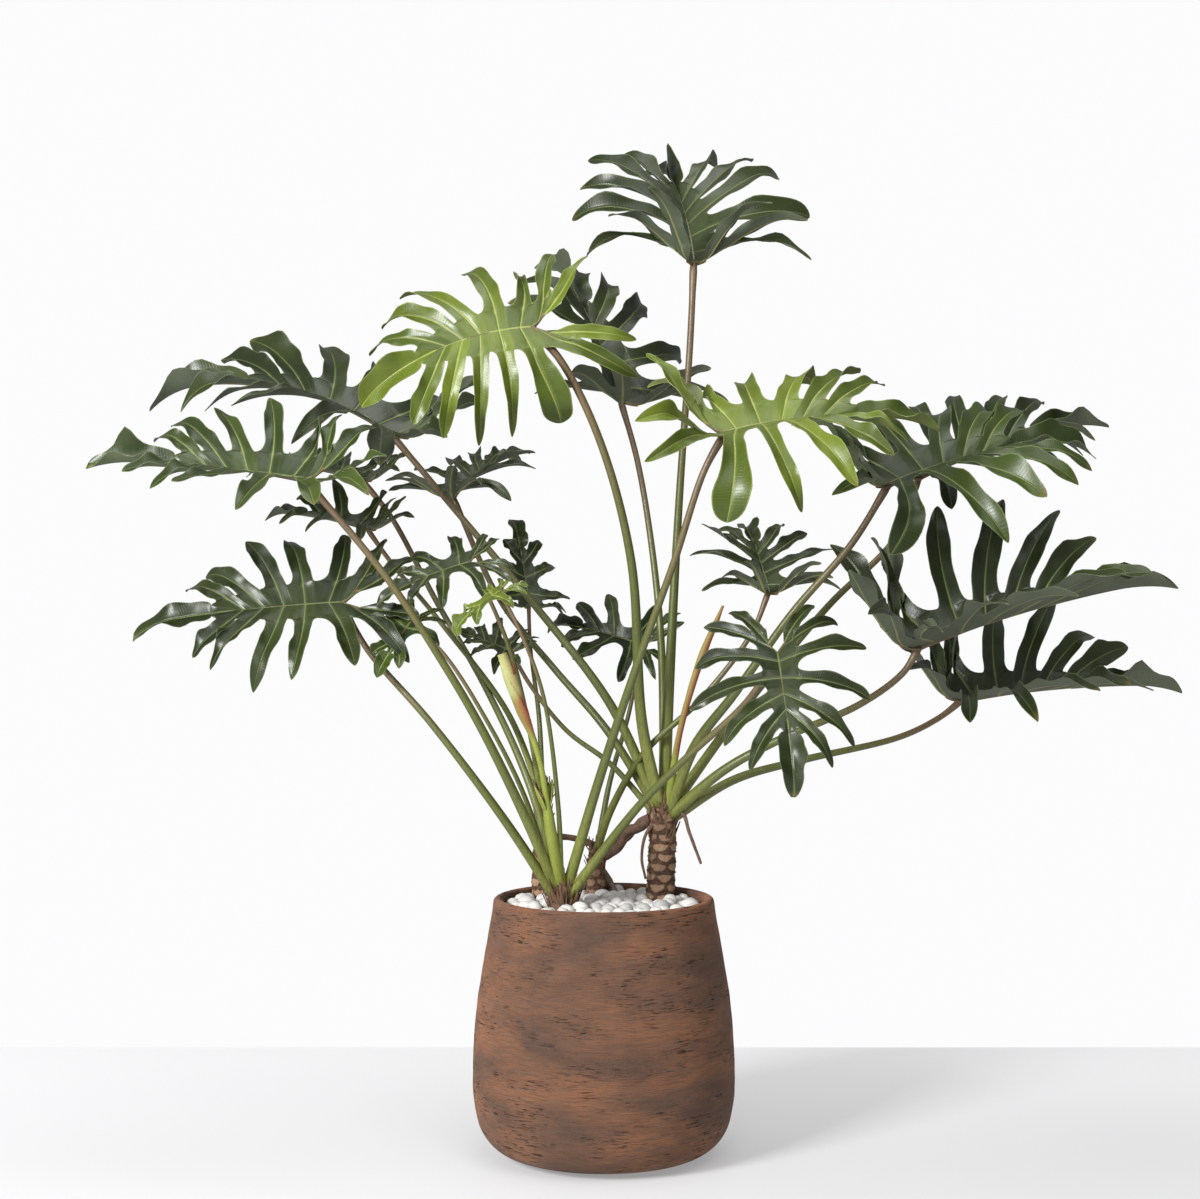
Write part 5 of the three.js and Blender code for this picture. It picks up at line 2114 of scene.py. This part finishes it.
LEAVES = (
    LeafPlan(
        name="top", side=5, seed=1, length=0.3,
        at=(0.12, 0.06, 1.17), heading=95, pitch=50, fold=(42, 42), droop=(55, 55),
        arch=25, bend=8, cup=85, thick=(0.009, 0.0046),
        route=((0.08, 0.048, 0.45), (0.086, 0.047, 0.59), (0.1, 0.05, 0.85), (0.115, 0.056, 1.065)),
    ),
    LeafPlan(
        name="bright_left", tone=Tone.LIME, side=5, seed=2, length=0.245,
        at=(-0.09, -0.115, 1.06), heading=195, pitch=-5, roll=-30, fold=(-38, 45), droop=(38, 60),
        arch=45, cup=30, thick=(0.009, 0.005),
        route=(
            (0.074, 0.04, 0.448), (0.05, 0.015, 0.56), (0.035, -0.05, 0.77),
            (-0.005, -0.09, 0.92), (-0.055, -0.11, 1.02),
        ),
    ),
    LeafPlan(
        name="upper_back", side=4, seed=3, length=0.285,
        at=(0.025, 0.15, 0.995), heading=125, pitch=60, fold=(25, 25), droop=(40, 40),
        arch=15, cup=90, spread=0.95, thick=(0.0075, 0.0042),
        route=(
            (0.08, 0.06, 0.448), (0.08, 0.072, 0.56), (0.076, 0.084, 0.68),
            (0.064, 0.108, 0.8), (0.046, 0.135, 0.91),
        ),
    ),
    LeafPlan(
        name="bright_centre", tone=Tone.LIME, side=5, seed=4, length=0.275,
        at=(0.145, -0.19, 0.923), heading=5, pitch=15, roll=15, fold=(48, 10), droop=(75, 80),
        arch=25, cup=50, spread=0.95, thick=(0.008, 0.0044),
        route=(
            (-0.05, -0.02, 0.338), (-0.005, -0.08, 0.495), (0.043, -0.135, 0.645),
            (0.087, -0.17, 0.77), (0.121, -0.187, 0.875),
        ),
    ),
    LeafPlan(
        name="right_front", tone=Tone.MID, side=5, seed=5, length=0.305,
        at=(0.361, -0.06, 0.868), heading=15, pitch=22, roll=10, fold=(45, 10), droop=(50, 55),
        arch=20, cup=60, thick=(0.0085, 0.0046),
        route=(
            (0.086, 0.042, 0.44), (0.12, 0.01, 0.53), (0.17, -0.02, 0.6),
            (0.243, -0.045, 0.705), (0.315, -0.057, 0.79),
        ),
    ),
    LeafPlan(
        name="right_back", side=5, seed=6, length=0.3,
        at=(0.432, 0.15, 0.889), heading=15, pitch=22, roll=10, fold=(50, 20), droop=(40, 40),
        arch=10, cup=60, spread=0.9, thick=(0.008, 0.0044),
        route=((0.088, 0.054, 0.442), (0.18, 0.085, 0.565), (0.304, 0.12, 0.71), (0.4, 0.146, 0.805)),
    ),
    LeafPlan(
        name="far_right_upper", side=5, seed=7, length=0.345,
        at=(0.405, -0.025, 0.66), heading=0, pitch=20, roll=10, fold=(50, 25), droop=(10, 10),
        arch=10, cup=60, thick=(0.008, 0.0044),
        route=(
            (0.088, 0.042, 0.436), (0.16, 0.005, 0.5), (0.23, -0.015, 0.54),
            (0.33, -0.025, 0.585), (0.385, -0.025, 0.625),
        ),
    ),
    LeafPlan(
        name="far_right_lower", side=5, seed=8, length=0.3,
        at=(0.485, 0.12, 0.585), heading=0, pitch=8, fold=(58, 12), droop=(10, 15),
        arch=8, cup=55, spread=0.95, thick=(0.0075, 0.0042),
        route=(
            (0.088, 0.05, 0.428), (0.17, 0.05, 0.48), (0.26, 0.065, 0.505),
            (0.4, 0.1, 0.535), (0.455, 0.115, 0.56),
        ),
    ),
    LeafPlan(
        name="facing", side=4, seed=9, length=0.19,
        at=(0.21, -0.19, 0.655), heading=275, pitch=-45, roll=5, fold=(5, 5), droop=(20, 20),
        arch=25, cup=0, thick=(0.0075, 0.0042),
        route=((-0.048, -0.026, 0.334), (0.045, -0.08, 0.46), (0.1, -0.115, 0.52), (0.175, -0.16, 0.595)),
    ),
    LeafPlan(
        name="mid_right", side=4, seed=10, length=0.17,
        at=(0.215, 0.005, 0.731), heading=100, pitch=45, fold=(28, 28), droop=(30, 30),
        arch=20, cup=85, thick=(0.006, 0.0036),
        route=(
            (-0.01, 0.096, 0.38), (0.01, 0.07, 0.44), (0.055, 0.035, 0.52),
            (0.127, 0.01, 0.59), (0.192, 0.004, 0.675),
        ),
    ),
    LeafPlan(
        name="left_upper", tone=Tone.MID, side=5, seed=11, length=0.275,
        at=(-0.37, -0.12, 0.871), heading=180, pitch=8, fold=(-8, 55), droop=(10, 15),
        arch=5, cup=35, spread=0.85, thick=(0.008, 0.0044),
        route=(
            (-0.056, -0.024, 0.336), (-0.095, -0.07, 0.435), (-0.154, -0.1, 0.56),
            (-0.203, -0.112, 0.645), (-0.272, -0.12, 0.75),
        ),
    ),
    LeafPlan(
        name="left_long", side=5, seed=12, length=0.36,
        at=(-0.285, 0.1, 0.946), heading=172, pitch=32, fold=(0, 40), droop=(20, 20),
        arch=45, cup=60, spread=0.85, thick=(0.008, 0.0044),
        route=((0.074, 0.046, 0.44), (0.01, 0.045, 0.58), (-0.098, 0.07, 0.72), (-0.221, 0.092, 0.866)),
    ),
    LeafPlan(
        name="inner_left", side=4, seed=13, length=0.175,
        at=(-0.207, 0.15, 0.862), heading=60, pitch=35, fold=(25, 25), droop=(30, 30),
        arch=20, cup=65, thick=(0.007, 0.004),
        route=((0.076, 0.056, 0.434), (0.005, 0.075, 0.545), (-0.066, 0.122, 0.625), (-0.142, 0.142, 0.72)),
    ),
    LeafPlan(
        name="small_left", side=3, seed=14, length=0.14,
        at=(-0.313, 0.06, 0.815), heading=175, pitch=15, fold=(5, 50), droop=(15, 15),
        arch=10, cup=40, thick=(0.005, 0.0032),
        route=((-0.084, 0.072, 0.462), (-0.128, 0.066, 0.57), (-0.217, 0.062, 0.69), (-0.283, 0.061, 0.77)),
    ),
    LeafPlan(
        name="left_lower", side=5, seed=15, length=0.275,
        at=(-0.338, -0.025, 0.717), heading=185, pitch=-3, roll=-35, fold=(-5, 25), droop=(15, 15),
        arch=8, cup=10, spread=0.75, thick=(0.0075, 0.0042),
        route=(
            (-0.058, -0.022, 0.33), (-0.13, -0.06, 0.445), (-0.222, -0.055, 0.565),
            (-0.303, -0.032, 0.655),
        ),
    ),
    LeafPlan(
        name="left_back", side=4, seed=16, length=0.17,
        at=(-0.329, 0.15, 0.885), heading=170, pitch=15, fold=(5, 35), droop=(15, 15),
        arch=15, cup=40, spread=0.75, thick=(0.0065, 0.0038),
        route=(
            (-0.056, -0.016, 0.34), (-0.097, 0.005, 0.48), (-0.156, 0.072, 0.6),
            (-0.228, 0.118, 0.72), (-0.29, 0.145, 0.832),
        ),
    ),
    LeafPlan(
        name="inner_olive", tone=Tone.MID, side=2, seed=17, length=0.09,
        at=(-0.247, -0.045, 0.692), heading=235, pitch=-40, roll=-30, fold=(0, 0), droop=(30, 30),
        arch=20, cup=0, thick=(0.0045, 0.0026),
        route=(
            (-0.06, -0.018, 0.334), (-0.102, -0.045, 0.47), (-0.152, -0.05, 0.57),
            (-0.204, -0.048, 0.65),
        ),
    ),
    LeafPlan(
        name="inner_dark", side=3, seed=18, length=0.13,
        at=(-0.173, -0.05, 0.768), heading=195, pitch=-15, roll=-30, fold=(0, 20), droop=(30, 30),
        arch=20, cup=0, spread=0.85, thick=(0.0045, 0.0028),
        route=((-0.084, 0.07, 0.466), (-0.1, 0.035, 0.56), (-0.12, -0.01, 0.65), (-0.149, -0.038, 0.725)),
    ),
    LeafPlan(
        name="inner_young", tone=Tone.LIME, side=2, seed=19, length=0.08,
        at=(-0.13, -0.12, 0.731), heading=205, pitch=-30, roll=-20, fold=(0, 0), droop=(20, 20),
        arch=20, cup=0, spread=0.8, thick=(0.004, 0.0026),
        route=(
            (-0.054, -0.03, 0.338), (-0.058, -0.068, 0.46), (-0.076, -0.103, 0.6),
            (-0.104, -0.118, 0.68),
        ),
    ),
    LeafPlan(
        name="inner_upright", side=3, seed=20, length=0.14,
        at=(-0.102, 0.145, 0.717), heading=110, pitch=65, fold=(15, 15), droop=(20, 20),
        arch=10, cup=70, spread=0.7, thick=(0.0045, 0.0028),
        route=((-0.082, 0.074, 0.468), (-0.087, 0.105, 0.56), (-0.1, 0.14, 0.655)),
    ),
    LeafPlan(
        name="inner_back", side=3, seed=21, length=0.105,
        at=(-0.124, 0.08, 0.651), heading=150, pitch=20, roll=-45, fold=(20, 20), droop=(20, 20),
        arch=15, cup=30, spread=0.7, thick=(0.005, 0.003),
        route=((0.074, 0.054, 0.428), (0.01, 0.07, 0.5), (-0.05, 0.082, 0.545), (-0.098, 0.084, 0.605)),
    ),
    LeafPlan(
        name="inner_right", side=3, seed=22, length=0.145,
        at=(0.05, 0.172, 0.658), heading=165, pitch=20, roll=-40, fold=(10, 35), droop=(25, 25),
        arch=20, cup=30, spread=0.85, thick=(0.005, 0.003),
        route=((-0.008, 0.098, 0.384), (0.008, 0.125, 0.47), (0.034, 0.158, 0.56), (0.046, 0.171, 0.62)),
    ),
)


def main() -> None:
    """Builds the stage and the plant piece by piece."""
    logging.basicConfig(level=logging.INFO, format="%(message)s")
    Stage().build(FloorFinish().make("floor_paint"))
    Pot().dress(PotFinish().make("clay"))
    Pebbles().dress(StoneFinish().make("stone"))
    crumbs = SoilFinish().make("soil_crumbs")
    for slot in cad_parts["soil"].material_slots:
        slot.material = crumbs
    bark = BarkFinish().make("bark")
    for trunk in TRUNKS:
        trunk.dress(bark)
    root_skin = RootFinish().make("root_skin")
    for root in ROOTS:
        root.dress(root_skin)
    greens = {tone: finish.make(tone.value) for tone, finish in LEAF_FINISHES.items()}
    stalk_skin = StalkFinish().make("stalk_skin")
    for plan in LEAVES:
        Stalk(plan).dress(stalk_skin)
        Blade(plan).dress(greens[plan.tone])
    shoot_skin = ShootFinish().make("shoot_skin")
    for shoot in SHOOTS:
        shoot.dress(shoot_skin)


if __name__ == "__main__":
    main()
